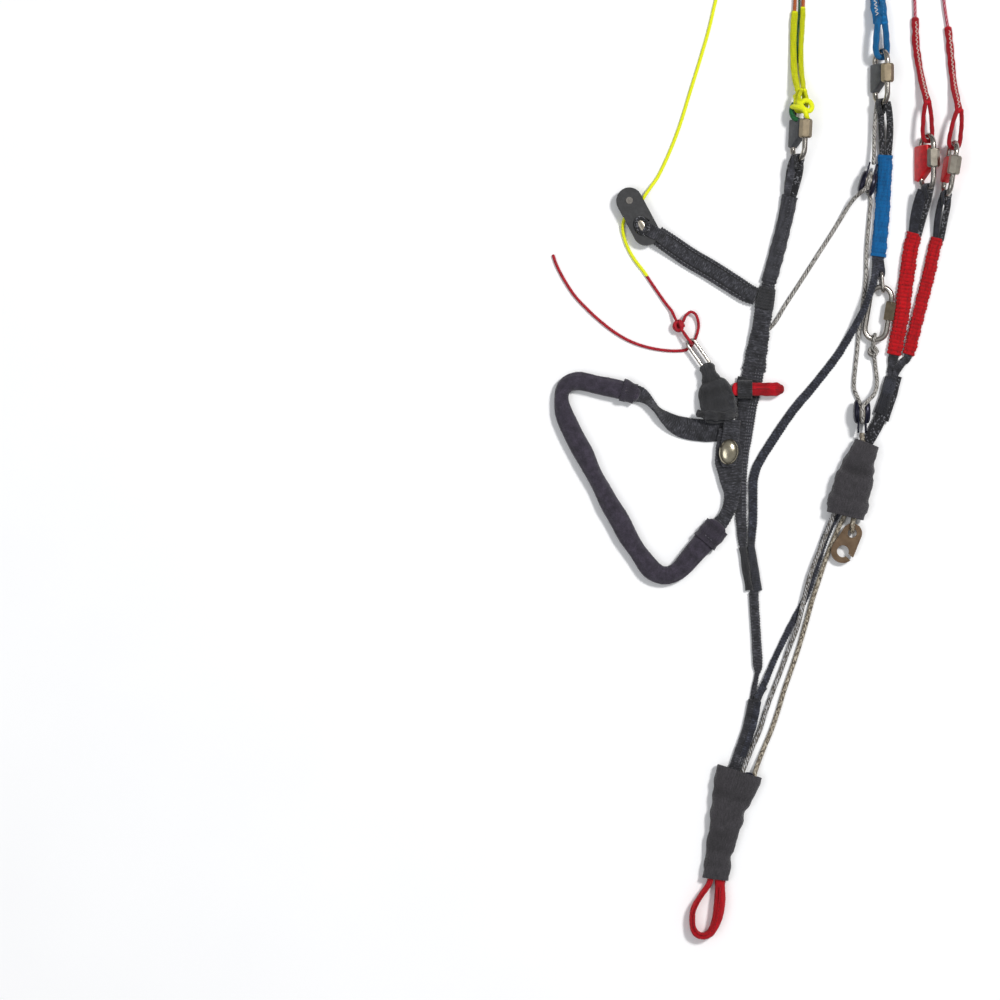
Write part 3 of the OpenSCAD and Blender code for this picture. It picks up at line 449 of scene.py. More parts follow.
def band(flat=10, arc=6):
    """A flat band with round edges."""
    points = []
    for side, start in ((1, -90), (-1, 90)):
        for k in range(arc + 1):
            angle = math.radians(start + 180 * k / arc)
            points.append((side, math.cos(angle), math.sin(angle)))
        points += [(side * (1 - 2 * k / flat), 0, side) for k in range(1, flat)]
    side, c, s = np.array(points).T

    def outline(w, t):
        r = np.minimum(t / 2, w / 2)[:, None]
        x = side * (w[:, None] / 2 - r) + c * r
        y = s * t[:, None] / 2
        return x, y, np.broadcast_to(c, x.shape), np.broadcast_to(s, x.shape), x
    return outline


def oval(count=24, square=1.0):
    """A round or squarish outline; its first point is underneath."""
    angle = np.radians(-90) + np.arange(count) * 2 * math.pi / count
    c, s = np.cos(angle), np.sin(angle)
    cx, sy = np.sign(c) * np.abs(c) ** square, np.sign(s) * np.abs(s) ** square
    turn = np.arange(count) / count

    def outline(w, t):
        x, y = cx * w[:, None] / 2, sy * t[:, None] / 2
        return x, y, np.broadcast_to(c, x.shape), np.broadcast_to(s, x.shape), np.broadcast_to(turn,
            x.shape)
    return outline


def build(name, verts, faces, values=None):
    """A smooth mesh object, with a named value at each point."""
    mesh = bpy.data.meshes.new(name)
    mesh.from_pydata(np.asarray(verts).tolist(), [], faces)
    mesh.polygons.foreach_set("use_smooth", [True] * len(mesh.polygons))
    for key, value in (values or {}).items():
        attribute = mesh.attributes.new(key, "FLOAT", "POINT")
        attribute.data.foreach_set("value", np.asarray(value, np.float32).ravel())
    return put(name, mesh)


def tube_faces(n, m, start=0, flip=False):
    """Faces between n rings of m points."""
    i, k = np.meshgrid(np.arange(n - 1), np.arange(m), indexing="ij")
    j = (k + 1) % m
    quad = [start + i * m + k, start + i * m + j, start + (i + 1) * m + j, start + (i + 1) * m + k]
    return np.stack(quad[::-1] if flip else quad, -1).reshape(-1, 4).tolist()


# How much stronger a relief is on an edge, where it shows as a wavy outline
EDGE_GAIN = 1.7


def loft(name, route, outline, relief=None, fleck=None, wall=0, ends="flat"):
    """A mesh along the route. relief adds height to its surface, and fleck gives a shade to each point."""
    x, y, nx, ny, across = outline(route.w, route.t)
    s = np.broadcast_to(route.s[:, None], x.shape)
    values = {"along": s, "across": across, "fleck": np.zeros_like(s) + 0.5, "relief": np.zeros_like(s)
        + 0.6}
    if relief is not None:
        h = relief(s, across, y)
        x = x + EDGE_GAIN * nx * h
        y = y + ny * h
        # The normalised height is stored as relief; the materials paint shade into its low parts and painted glints
        # onto its crests
        values["relief"] = (h - h.min()) / max(h.max() - h.min(), 1e-9)
    if fleck is not None:
        values["fleck"] = fleck(s, across)

    def lay(px, py, rows=slice(None), shift=0.0):
        p = route.p[rows] + route.along[rows] * shift
        return (p[:, None, :] + route.a[rows][:, None, :] * px[..., None] + route.b[rows][:, None, :]
            * py[..., None])
    n, m = x.shape
    rings = [lay(x, y)]
    if ends == "round":
        caps = [(math.sin(v), math.cos(v)) for v in (0.5, 0.95, 1.3)]
        r = min(route.w[0], route.t[0]) / 2
        first = [lay(x[:1] * c, y[:1] * c, slice(0, 1), -r * k) for k, c in reversed(caps)]
        last = [lay(x[-1:] * c, y[-1:] * c, slice(-1, None), r * k) for k, c in caps]
        rings = [*first, rings[0], *last]
        values = {k: np.vstack([np.repeat(v[:1], 3, 0), v, np.repeat(v[-1:], 3, 0)]) for k,
            v in values.items()}
        n += 6
    verts = np.vstack([g.reshape(-1, 3) for g in rings])
    faces = tube_faces(n, m)
    if wall:
        shrink = 1 - 2 * wall / np.maximum(route.w, 1e-6)[:, None]
        thin = 1 - 2 * wall / np.maximum(route.t, 1e-6)[:, None]
        verts = np.vstack([verts, lay(x * shrink, y * thin).reshape(-1, 3)])
        values = {k: np.vstack([v, v]) for k, v in values.items()}
        faces += tube_faces(n, m, n * m, flip=True)
        for row, flip in ((0, False), (n - 1, True)):
            for k in range(m):
                j = (k + 1) % m
                q = [row * m + k, (n + row) * m + k, (n + row) * m + j, row * m + j]
                faces.append(q[::-1] if flip else q)
    else:
        faces += [list(range(m - 1, -1, -1)), [(n - 1) * m + k for k in range(m)]]
    obj = build(name, verts, faces, values)
    if ends == "flat" and not wall:
        for f in list(obj.data.polygons)[-2:]:
            f.use_smooth = False
    return obj


def chance_at(i, j, seed=0.0):
    """A repeatable number from 0 to 1 for each pair of whole numbers."""
    v = np.sin(i * 12.9898 + j * 78.233 + seed * 3.17) * 43758.5453
    return v - np.floor(v)


def ripple(x, y, seed, waves=6, low=1.0, high=3.0):
    """Soft irregular waves of about unit height."""
    r = np.random.default_rng(seed)
    total = 0
    for _ in range(waves):
        k, turn, phase = r.uniform(low, high), r.uniform(0, math.pi), r.uniform(0, 6.3)
        total = total + np.sin(k * (x * math.cos(turn) + y * math.sin(turn)) + phase)
    return total / math.sqrt(waves)


# ---- Reliefs of the fabrics ----
def ribs(period=1.7, depth=0.16, slant=0.0, wander=0.05):
    """Ribs across a webbing."""
    def relief(s, across, y):
        place = s / MM + slant * np.abs(across) / MM
        return MM * (depth * (np.sqrt(np.abs(np.sin(math.pi * place / period))) - 0.6) + wander
            * ripple(s / MM, across / MM, 3, low=0.2, high=1.2))
    return relief


def knit(cell=1.15, depth=0.2, seed=1.0):
    """Small domed stitches in slanted columns."""
    def cells(s, across):
        col = across / MM / cell
        row = s / MM / cell + 0.5 * np.floor(col)
        return col, row

    def relief(s, across, y):
        col, row = cells(s, across)
        dome = np.cos(math.pi * (col - np.floor(col) - 0.5)) * np.cos(math.pi * (row - np.floor(row) - 0.5))
        return MM * depth * (np.abs(dome) - 0.5)

    def fleck(s, across):
        col, row = cells(s, across)
        return chance_at(np.floor(col), np.floor(row), seed)
    return relief, fleck


def braid(carriers, lay, depth, shades, seed=0, mixed=0.12):
    """Crossing strands round a cord. shades gives each carrier's shade, in turn."""
    def cells(s, turn):
        u, v = carriers * (turn + s / MM / lay), carriers * (turn - s / MM / lay)
        fu, fv = u - np.floor(u) - 0.5, v - np.floor(v) - 0.5
        top = (np.floor(u) + np.floor(v)) % 2 == 0
        return u, v, fu, fv, top

    def relief(s, turn, y):
        u, v, fu, fv, top = cells(s, turn)
        width, length = np.where(top, fu, fv), np.where(top, fv, fu)
        dome = np.sqrt(np.maximum(0, 1 - (2 * width) ** 2)) * (0.45 + 0.55 * np.cos(math.pi * length))
        return MM * depth * (dome - 0.55)

    def fleck(s, turn):
        u, v, fu, fv, top = cells(s, turn)
        table = np.array(shades, float)
        i, j = np.floor(u).astype(int), np.floor(v).astype(int)
        shade = np.where(top, table[i % len(table)], table[(j + len(table) // 2) % len(table)])
        return np.clip(shade + mixed * (chance_at(i, j, seed) - 0.5), 0, 1)
    return relief, fleck


def wrinkles(depth, seed, low=0.15, high=0.6):
    def relief(s, turn, y):
        a = turn * 2 * math.pi
        x = s / MM
        return MM * depth * (ripple(x, 6 * np.cos(a), seed, 7, low, high) + 0.6
            * ripple(x + 3 * np.sin(a), 5 * np.sin(a), seed + 1, 6, low, high))
    return relief


# ---- Thread ----
def threads(name, runs, d, sides=6):
    """Short or long threads, each a list of points in metres, as one mesh."""
    verts, faces = [], []
    angle = np.arange(sides) * 2 * math.pi / sides
    total = 0
    for run in runs:
        p = np.asarray(run, float)
        t = unit(np.gradient(p, axis=0))
        a = unit(np.cross(t, (0.02, 0.03, 1)))
        b = np.cross(a, t)
        r = np.full(len(p), d / 2)
        r[0] = r[-1] = d / 5
        ring = (p[:, None] + a[:, None] * (np.cos(angle)[None, :, None] * r[:, None, None]) + b[:, None]
            * (np.sin(angle)[None, :, None] * r[:, None, None]))
        verts.append(ring.reshape(-1, 3))
        faces += tube_faces(len(p), sides, total)
        faces += [[total + k for k in range(sides - 1, -1, -1)],
            [total + (len(p) - 1) * sides + k for k in range(sides)]]
        total += len(p) * sides
    return build(name, np.vstack(verts), faces)


def row_of_stitches(route, across, start, end, pitch=2.6, fill=0.62, height=0.22):
    """One row of straight stitches on a band's upper face, as threads."""
    count = max(1, int((end - start) / (pitch * MM)))
    runs = []
    for k in range(count):
        s = start + (k + 0.5) * (end - start) / count + np.linspace(-0.5, 0.5, 6) * pitch * fill * MM
        lift = height * MM * np.array([-0.7, 0.35, 0.8, 0.8, 0.35, -0.7])
        runs.append(route.on_top(s, across, 0) + interp_up(route, s) * lift[:, None])
    return runs


def interp_up(route, s):
    return np.stack([np.interp(s, route.s, route.b[:, k]) for k in range(3)], -1)


def zigzag(route, start, end, pitch=2.2, reach=0.6, centre=0.0, height=0.2):
    """A zigzag seam on a band's upper face, as one thread."""
    turns = max(2, int((end - start) / (pitch * MM / 2)))
    s, across, lift = [], [], []
    for k in range(turns):
        side = 1 if k % 2 else -1
        at = start + (end - start) * k / turns
        step = (end - start) / turns
        for f, side_share, up in ((0, side, -0.3), (0.25, side * 0.6, 0.8), (0.5, 0, 1),
                (0.75, -side * 0.6, 0.8)):
            s.append(at + f * step)
            across.append(centre + side_share * reach)
            lift.append(up * height * MM)
    s = np.array(s)
    return [route.on_top(s, np.array(across)) + interp_up(route, s) * np.array(lift)[:, None]]


# ---- Materials ----
def rgb(r, g, b):
    """A colour named in screen values from 0 to 255, as the linear colour that shaders take."""
    linear = [c / 255 / 12.92 if c <= 10 else ((c / 255 + 0.055) / 1.055) ** 2.4 for c in (r, g, b)]
    return (*linear, 1)


def grey(v):
    return (v, v, v, 1)


class Paint:
    """A material and short ways to add nodes to it."""

    def __init__(self, name):
        self.material = bpy.data.materials.new(name)
        self.material.use_nodes = True
        self.tree = self.material.node_tree
        self.shader = self.tree.nodes["Principled BSDF"]

    def set(self, **sockets):
        for key, value in sockets.items():
            self.shader.inputs[key.replace("_", " ")].default_value = value

    def node(self, kind, links=None, **settings):
        n = self.tree.nodes.new(kind)
        for key, value in settings.items():
            setattr(n, key, value)
        for key, value in (links or {}).items():
            if isinstance(value, bpy.types.NodeSocket):
                self.tree.links.new(value, n.inputs[key])
            else:
                n.inputs[key].default_value = value
        return n.outputs[0]

    def add(self, a, b):
        return self.node("ShaderNodeMath", {0: a, 1: b}, operation="ADD")

    def times(self, a, b):
        return self.node("ShaderNodeMath", {0: a, 1: b}, operation="MULTIPLY")

    def wave(self, a, length):
        return self.node("ShaderNodeMath", {0: self.times(a, 2 * math.pi / length)}, operation="SINE")

    def value(self, name):
        n = self.tree.nodes.new("ShaderNodeAttribute")
        n.attribute_name = name
        return n.outputs["Fac"]

    def place(self, x, y, z=0.0):
        return self.node("ShaderNodeCombineXYZ", {0: x, 1: y, 2: z})

    def object_place(self):
        n = self.tree.nodes.new("ShaderNodeTexCoord")
        return self.node("ShaderNodeVectorMath", {0: n.outputs["Object"], 1: (1000,) * 3},
            operation="MULTIPLY")

    def noise(self, place, scale, detail=3, rough=0.6):
        return self.node("ShaderNodeTexNoise", {"Vector": place, "Scale": scale, "Detail": detail,
            "Roughness": rough})

    def ramp(self, value, *stops):
        n = self.tree.nodes.new("ShaderNodeValToRGB")
        ramp = n.color_ramp
        while len(ramp.elements) < len(stops):
            ramp.elements.new(0.5)
        for e, (place, colour) in zip(ramp.elements, stops):
            e.position, e.color = place, colour
        self.tree.links.new(value, n.inputs[0])
        return n.outputs[0]

    def mix(self, share, a, b, blend="MIX"):
        n = self.tree.nodes.new("ShaderNodeMix")
        n.data_type, n.blend_type = "RGBA", blend
        for key, value in ((0, share), (6, a), (7, b)):
            if isinstance(value, bpy.types.NodeSocket):
                self.tree.links.new(value, n.inputs[key])
            else:
                n.inputs[key].default_value = value
        return n.outputs[2]

    def finish(self, colour=None, rough=None, height=None, depth=0.1):
        links = self.tree.links
        if colour is not None:
            links.new(colour, self.shader.inputs["Base Color"])
        if rough is not None:
            links.new(rough, self.shader.inputs["Roughness"])
        if height is not None:
            bump = self.tree.nodes.new("ShaderNodeBump")
            bump.inputs["Distance"].default_value = depth * MM
            bump.inputs["Strength"].default_value = 1
            links.new(height, bump.inputs["Height"])
            links.new(bump.outputs[0], self.shader.inputs["Normal"])
        return self.material


def cloth(name, dark, light, fleck=None, weave=(0.9, 0.9), depth=0.12, rough=0.85, sheen=0.25, spots=0.62,
        painted_groove_shade=0.85, painted_glint=None, grain=0.8, worn=0.6):
    """Woven fabric: two shades, a fine weave along and across, fuzz and flecks, with painted shade in the grooves and
    painted glints on the rib crests.
    """
    p = Paint(name)
    along = p.times(p.value("along"), 1000)
    across = p.times(p.value("across"), 1000)
    place = p.place(along, across)
    broad = p.noise(place, 0.22, 4)
    colour = p.mix(p.times(p.add(broad, -0.3), 2.2), dark, light)
    one = p.wave(along, weave[0])
    two = p.wave(across, weave[1])
    fuzz = p.noise(place, 3.2, 5, 0.7)
    height = p.add(p.times(one, two), p.times(fuzz, 1.6))
    yarn = p.noise(p.object_place(), 1.15, 2, 0.6)
    shade = p.ramp(yarn, (0.34, grey(0.42)), (0.62, grey(1.0)))
    colour = p.mix(grain, colour, shade, "MULTIPLY")
    dulled = p.ramp(fuzz, (0.3, grey(0.55)), (0.62, grey(1.0)))
    colour = p.mix(worn, colour, dulled, "MULTIPLY")
    # Painted shade: the colour is darkened where the relief is low, in the grooves between ribs and stitches
    painted_groove_shade_ramp = p.ramp(p.value("relief"), (0.1, grey(0.25)), (0.7, grey(1.0)))
    colour = p.mix(painted_groove_shade, colour, painted_groove_shade_ramp, "MULTIPLY")
    # Painted highlight: pale glint colour painted in streaks onto the rib crests
    if painted_glint:
        streaks = p.place(p.times(along, 1.5), p.times(across, 0.4))
        painted_glint_spots = p.ramp(p.noise(streaks, 1.0, 2, 0.5), (0.5, grey(0)), (0.72, grey(0.8)))
        painted_glint_crests = p.ramp(p.value("relief"), (0.45, grey(0.1)), (0.7, grey(1)))
        colour = p.mix(p.times(painted_glint_spots, painted_glint_crests), colour, painted_glint)
    if fleck:
        shade = p.ramp(p.value("fleck"), (spots, grey(0)), (min(1, spots + 0.12), grey(1)))
        colour = p.mix(shade, colour, fleck)
    p.set(Sheen_Weight=sheen, Sheen_Roughness=0.5, Specular_IOR_Level=0.3)
    tone = p.add(p.times(fuzz, 0.2), rough - 0.1)
    return p.finish(colour, tone, height, depth)


def strand(name, first, second, third=None, rough=0.6, depth=0.1, sheen=0.15, painted_groove_shade=0.8):
    """Braided cord: the fleck value picks the yarn's colour; fine filaments run along it; shade is painted into the
    hollows between strands.
    """
    p = Paint(name)
    fleck = p.value("fleck")
    stops = [(0.0, first), (0.5, second)] + ([(1.0, third)] if third else [])
    colour = p.ramp(fleck, *stops)
    along = p.times(p.value("along"), 1000)
    around = p.times(p.value("across"), 40)
    fine = p.noise(p.place(along, around), 2.4, 4, 0.7)
    colour = p.mix(0.75, colour, p.ramp(fine, (0.3, grey(0.62)), (0.65, grey(1))), "MULTIPLY")
    # Painted shade: the colour is darkened where the relief is low, between the braid's strands
    painted_groove_shade_ramp = p.ramp(p.value("relief"), (0.15, grey(0.3)), (0.6, grey(1.0)))
    colour = p.mix(painted_groove_shade, colour, painted_groove_shade_ramp, "MULTIPLY")
    p.set(Sheen_Weight=sheen, Sheen_Roughness=0.4, Specular_IOR_Level=0.35)
    tone = p.add(p.times(fine, 0.25), rough - 0.1)
    return p.finish(colour, tone, fine, depth)


def metal(name, dark, light, rough=0.25, brushed=(1, 1, 1), depth=0.02, metallic=1.0):
    """Metal with faint brushing, handling marks and uneven gloss."""
    p = Paint(name)
    place = p.object_place()
    stretched = p.node("ShaderNodeVectorMath", {0: place, 1: brushed}, operation="MULTIPLY")
    fine = p.noise(stretched, 2.2, 4, 0.65)
    smudge = p.noise(place, 0.28, 3, 0.5)
    colour = p.mix(smudge, dark, light)
    colour = p.mix(0.5, colour, p.ramp(fine, (0.35, grey(0.7)), (0.7, grey(1))), "MULTIPLY")
    p.set(Metallic=metallic)
    tone = p.add(p.times(fine, 0.22), rough - 0.11)
    tone = p.add(tone, p.times(smudge, 0.08))
    return p.finish(colour, tone, fine, depth)


def plastic(name, dark, light, rough=0.45, depth=0.04, grain=5.0):
    """Moulded plastic with a fine grain and slightly worn, lighter patches."""
    p = Paint(name)
    place = p.object_place()
    fine = p.noise(place, grain, 3, 0.6)
    worn = p.noise(place, 0.35, 5, 0.65)
    colour = p.mix(p.ramp(worn, (0.42, grey(0)), (0.7, grey(1))), dark, light)
    tone = p.add(p.times(worn, 0.2), rough - 0.1)
    return p.finish(colour, tone, fine, depth)


def paper():
    """The pale table."""
    p = Paint("table_paper")
    place = p.object_place()
    soft = p.noise(place, 0.01, 2)
    colour = p.mix(soft, rgb(250, 250, 251), rgb(254, 254, 254))
    p.set(Specular_IOR_Level=0.1)
    return p.finish(colour, p.add(p.times(soft, 0.1), 0.8), p.noise(place, 0.8, 3), 0.02)


# In the fabric finishes, the groove shade share sets the shade painted into grooves and hollows, and the glint colour
# is a painted highlight on the rib crests
FINISH = {
    "web": cloth("charcoal_webbing", rgb(28, 28, 32), rgb(76, 76, 84), weave=(0.45, 0.8), painted_groove_shade=0.97,
                 painted_glint=rgb(108, 108, 116)),
    "web_navy": cloth("navy_webbing", rgb(24, 25, 33), rgb(70, 72, 86), weave=(0.5, 0.8), painted_groove_shade=0.97,
                      painted_glint=rgb(100, 104, 120)),
    "speckled": cloth("speckled_webbing", rgb(22, 22, 26), rgb(48, 48, 55), rgb(122, 122, 127),
                      weave=(0.5, 0.5), spots=0.72),
    "grey_speck": cloth("grey_fleck_webbing", rgb(28, 28, 33), rgb(56, 56, 64), rgb(112, 112, 118),
                        weave=(0.5, 0.5), spots=0.7),
    "cover": cloth("smooth_dark_cover", rgb(48, 48, 54), rgb(82, 82, 90), weave=(0.4, 0.4), depth=0.06,
                   painted_glint=rgb(110, 110, 118), grain=0.6),
    "blackrib": cloth("black_elastic", rgb(26, 26, 29), rgb(58, 58, 63), weave=(0.4, 0.7),
                      painted_glint=rgb(96, 96, 102)),
    "red_cover": cloth("red_ribbed_cover", rgb(202, 0, 18), rgb(232, 8, 26), weave=(0.5, 0.8),
                       rough=0.7, depth=0.08, sheen=0.06, painted_groove_shade=0.7, grain=0.3, worn=0.3),
    "blue_cover": cloth("blue_cover", rgb(0, 106, 184), rgb(0, 142, 218), weave=(0.5, 0.6), rough=0.65,
                        sheen=0.06, painted_groove_shade=0.6, grain=0.3, worn=0.3),
    "red_web": cloth("red_webbing", rgb(214, 0, 24), rgb(240, 4, 34), weave=(0.5, 0.7), rough=0.7,
                     sheen=0.06, painted_groove_shade=0.5, grain=0.25, worn=0.3),
    "neoprene": cloth("charcoal_neoprene", rgb(50, 48, 51), rgb(84, 80, 85), weave=(0.55, 0.55),
                      depth=0.05, rough=0.9, painted_groove_shade=0.5, grain=0.6),
    "grip": cloth("grip_fabric", rgb(44, 40, 50), rgb(78, 70, 86), weave=(0.5, 0.5), depth=0.05,
                  painted_groove_shade=0.5, grain=0.6),
    "red_sheath": cloth("red_line_sheath", rgb(190, 0, 24), rgb(218, 4, 36), weave=(0.5, 0.5),
                        rough=0.65, sheen=0.06, painted_groove_shade=0.35, grain=0.3, worn=0.3),
    "blue_sheath": cloth("blue_line_sheath", rgb(0, 104, 170), rgb(0, 138, 208), weave=(0.5, 0.5),
                         rough=0.65, sheen=0.06, painted_groove_shade=0.35, grain=0.35, worn=0.4),
    "yellow_sheath": cloth("yellow_line_sheath", rgb(242, 248, 0), rgb(252, 255, 4),
                           weave=(0.5, 0.5), rough=0.65, sheen=0.06, painted_groove_shade=0.3, grain=0.1,
                           worn=0.2),
    "yellow": strand("yellow_line", rgb(226, 234, 0), rgb(250, 255, 10), rgb(238, 244, 4), painted_groove_shade=0.4),
    "red_line": strand("red_line", rgb(146, 0, 22), rgb(190, 6, 34), rgb(112, 0, 20), painted_groove_shade=0.5),
    "red_fleck": strand("red_fleck_line", rgb(120, 0, 30), rgb(178, 16, 52), rgb(216, 158, 170)),
    "orange": strand("orange_line", rgb(160, 72, 28), rgb(190, 96, 42), rgb(120, 54, 26)),
    "green": strand("green_line", rgb(4, 62, 28), rgb(14, 104, 50), rgb(16, 44, 30)),
    "grey_cord": strand("grey_cord", rgb(36, 32, 31), rgb(132, 127, 121), rgb(204, 201, 195)),
    "pale_cord": strand("pale_cord", rgb(48, 44, 42), rgb(122, 116, 108), rgb(196, 196, 198)),
    "sand_cord": strand("sand_cord", rgb(52, 44, 37), rgb(142, 130, 112), rgb(204, 195, 176)),
    "steel": metal("polished_steel", rgb(122, 116, 110), rgb(200, 194, 186), 0.2),
    "nut_champagne": metal("champagne_nut", rgb(112, 100, 82), rgb(164, 150, 126), 0.34),
    "nut_steel": metal("steel_nut", rgb(116, 110, 100), rgb(184, 176, 162), 0.3),
    "hook": metal("hook_steel", rgb(84, 68, 54), rgb(126, 106, 86), 0.34, (0.4, 3, 1), 0.04),
    "sheave": metal("sheave_alloy", rgb(150, 140, 124), rgb(214, 206, 192), 0.3),
    "navy": metal("navy_cheek", rgb(12, 12, 26), rgb(34, 33, 56), 0.28, metallic=0.5),
    "snap": metal("snap_cap_metal", rgb(140, 130, 108), rgb(206, 198, 176), 0.16),
    "block": plastic("matte_black_block", rgb(28, 28, 30), rgb(48, 48, 50), 0.55),
    "insert": plastic("dark_insert", rgb(58, 60, 63), rgb(84, 86, 90), 0.5),
    "red_insert": plastic("red_insert", rgb(196, 6, 18), rgb(232, 20, 30), 0.42),
    "peg": cloth("red_peg_cloth", rgb(196, 0, 24), rgb(238, 6, 38), weave=(0.7, 0.7), rough=0.6,
                 sheen=0.06, painted_groove_shade=0.6, grain=0.3, worn=0.3),
    "thread_white": plastic("pale_thread", rgb(214, 206, 196), rgb(238, 234, 226), 0.7),
    "thread_grey": plastic("grey_thread", rgb(104, 104, 110), rgb(146, 146, 152), 0.7),
    "thread_dark": plastic("dark_thread", rgb(26, 26, 30), rgb(50, 50, 54), 0.7),
    "thread_red": plastic("red_thread", rgb(104, 4, 14), rgb(150, 12, 24), 0.7),
    "thread_blue": plastic("blue_thread", rgb(60, 130, 190), rgb(110, 170, 220), 0.7),
}

SLOTS = {"web": "dark_webbing", "web_navy": "dark_webbing", "speckled": "dark_webbing",
         "grey_speck": "dark_webbing", "cover": "dark_cover", "blackrib": "dark_webbing",
         "red_cover": "red_cover", "blue_cover": "blue_cover", "red_web": "red_webbing",
         "neoprene": "neoprene", "grip": "grip_fabric", "red_sheath": "red_line",
         "blue_sheath": "blue_line", "yellow_sheath": "yellow_line", "yellow": "yellow_line",
         "red_line": "red_line", "red_fleck": "red_line", "grey_cord": "grey_cord",
         "pale_cord": "speed_cord", "sand_cord": "speed_cord", "nut_champagne": "nut_steel",
         "nut_steel": "nut_steel", "insert": "dark_plastic", "red_insert": "red_plastic",
         "peg": "red_plastic"}


def dress(obj, finish, body="riser", stands_for=()):
    """Gives a piece its material, its body and the CAD nodes it stands for."""
    obj.data.materials.clear()
    obj.data.materials.append(FINISH[finish])
    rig.ride(obj, body)
    if finish in SLOTS:
        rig.slot(obj, SLOTS[finish])
    if stands_for:
        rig.replaces(obj, *([stands_for] if isinstance(stands_for, str) else stands_for))
    return obj


def stitched(name, runs, finish="thread_grey", d=0.32, body="riser"):
    """A piece of thread, from lists of points."""
    return dress(threads(name, runs, d * MM), finish, body)


def keep(node, finish, bevel=0.0):
    """A CAD node that stays, with its own finish and a slightly rounded edge."""
    obj = nodes[node]
    obj.data.materials.clear()
    obj.data.materials.append(FINISH[finish])
    obj.data.polygons.foreach_set("use_smooth", [True] * len(obj.data.polygons))
    if bevel:
        b = obj.modifiers.new("edge", "BEVEL")
        b.width = bevel * MM
        b.segments = 3
        b.limit_method = "ANGLE"
        b.angle_limit = math.radians(35)
        b.harden_normals = False
    obj.data.update()


# ---- The table ----
def make_table():
    mesh = bpy.data.meshes.new("table")
    # Half the table's side, in metres
    half = 4
    mesh.from_pydata([(-half, -half, 0), (half, -half, 0), (half, half, 0), (-half, half, 0)], [],
        [(0, 1, 2, 3)])
    table = put("table", mesh)
    mesh.materials.append(paper())
    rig.stage(table)


# The thickness of the thin fabric covers
COVER = 0.5 * MM


def uneven(route, depth, seed, low=0.2, high=0.7):
    """A worn band: its width and middle wander a little."""
    wave = ripple(route.s / MM, route.s * 0, seed, 7, low, high) * depth * MM
    sway = ripple(route.s / MM, route.s * 0, seed + 7, 5, low, high) * depth * 0.4 * MM
    route.w = route.w + wave
    route.p = route.p + route.a * sway[:, None]
    return route


# ---- Webbing ----
def webbing(name, route, finish, relief=None, fleck=None, body="riser", stands_for=(), flat=12, **more):
    obj = loft(name, route, band(flat), relief, fleck, **more)
    return dress(obj, finish, body, stands_for)


def tube(name, route, finish, relief=None, around=36, square=0.62, body="riser", stands_for=(), **more):
    return dress(loft(name, route, oval(around, square), relief, **more), finish, body, stands_for)


def web_eye(name, at, width, finish, thick=1.3):
    """The folded end of a webbing round a link's lower bow, with its stitched throat."""
    half = [(-BOW - 6.2, 0.9), (-BOW - 3.2, 1.7), (-BOW - 0.4, 2.55), (-BOW + 1.7, 2.2)]
    points = ([[0, y, z] for y, z in half] + [[0, -BOW + 2.95, 0]]
        + [[0, y, -z] for y, z in reversed(half)])
    side = np.array(link_matrix(at).to_3x3()) @ np.array((1, 0, 0))
    relief, fleck = knit(0.75, 0.16, 5)
    route = Route(loop_points(points, at), 0.3, (width, thick), side=side)
    return webbing(name, route, finish, relief, fleck)


def c_strap():
    lower = uneven(Route(C_ROUTE, 0.35, part=(0, 10.4)), 0.45, 11, 0.15, 0.5)
    webbing("c_web_main", lower, "web", ribs(1.8, 0.5), stands_for="c_web", flat=14)
    relief, fleck = knit(0.8, 0.2, 2)
    upper = Route(pts(2.6, (22.7, 190, 2.8, 8, 2.4), (24, 197, 4.2, 10), (25.2, 204, 6.2, 10.6),
        (26.3, 211, 8.6, 10.2, 2.6, 6), (27.5, 215.8, 10.2, 8.6, 2.4, 14)), 0.3)
    webbing("c_web_upper", uneven(upper, 0.25, 12), "speckled", relief, fleck, flat=18)
    smooth_side = Route(pts(1, (20.6, 190, 4.2, 4), (21.7, 197, 5.6, 4.6), (23.1, 204, 7.6, 4.6),
        (24.6, 211, 9.8, 4), (25.6, 214.5, 10.8, 3.4)), 0.3)
    webbing("c_web_upper_side", smooth_side, "cover", ribs(1.2, 0.1))
    web_eye("c_web_eye", C_AT, 6, "speckled")
    inner = Route(C_ROUTE, 0.4, part=(10.2, 13.2), grow=(-0.5, -0.2))
    webbing("c_web_inner", inner, "web", ribs(1.4, 0.1))
    cover = uneven(Route(C_ROUTE, 0.4, part=(9.9, 13.05), grow=(1.7, 1.9)), 0.3, 14, 0.1, 0.4)
    tube("c_cover_tube", cover, "cover", ribs(2.1, 0.12, wander=0.16), stands_for="c_cover", wall=COVER)
    folded = uneven(Route(C_ROUTE, 0.35, part=(6.3, 8.6), grow=(0.6, 0.9)), 0.8, 15, 0.3, 0.8)
    webbing("c_web_fold", folded, "web", ribs(2.2, 0.5, wander=0.2))
    speckle = Route(C_ROUTE, 0.3, part=(1.0, 7.4))
    length = speckle.length
    runs = [r for a in (0.25, 0.5, 0.75) for r in row_of_stitches(speckle, a, 2 * MM, length - 2 * MM, 2.2,
        0.5, 0.4)]
    stitched("c_web_stitches", runs, "thread_grey", 0.45)
    top = Route(C_ROUTE, 0.3, part=(8.6, 13))
    runs = [r for a in (0.1, 0.6) for r in row_of_stitches(top, a, 1 * MM, top.length - 1 * MM, 2.4, 0.45,
        1.1)]
    stitched("c_upper_stitches", runs, "thread_grey", 0.34)


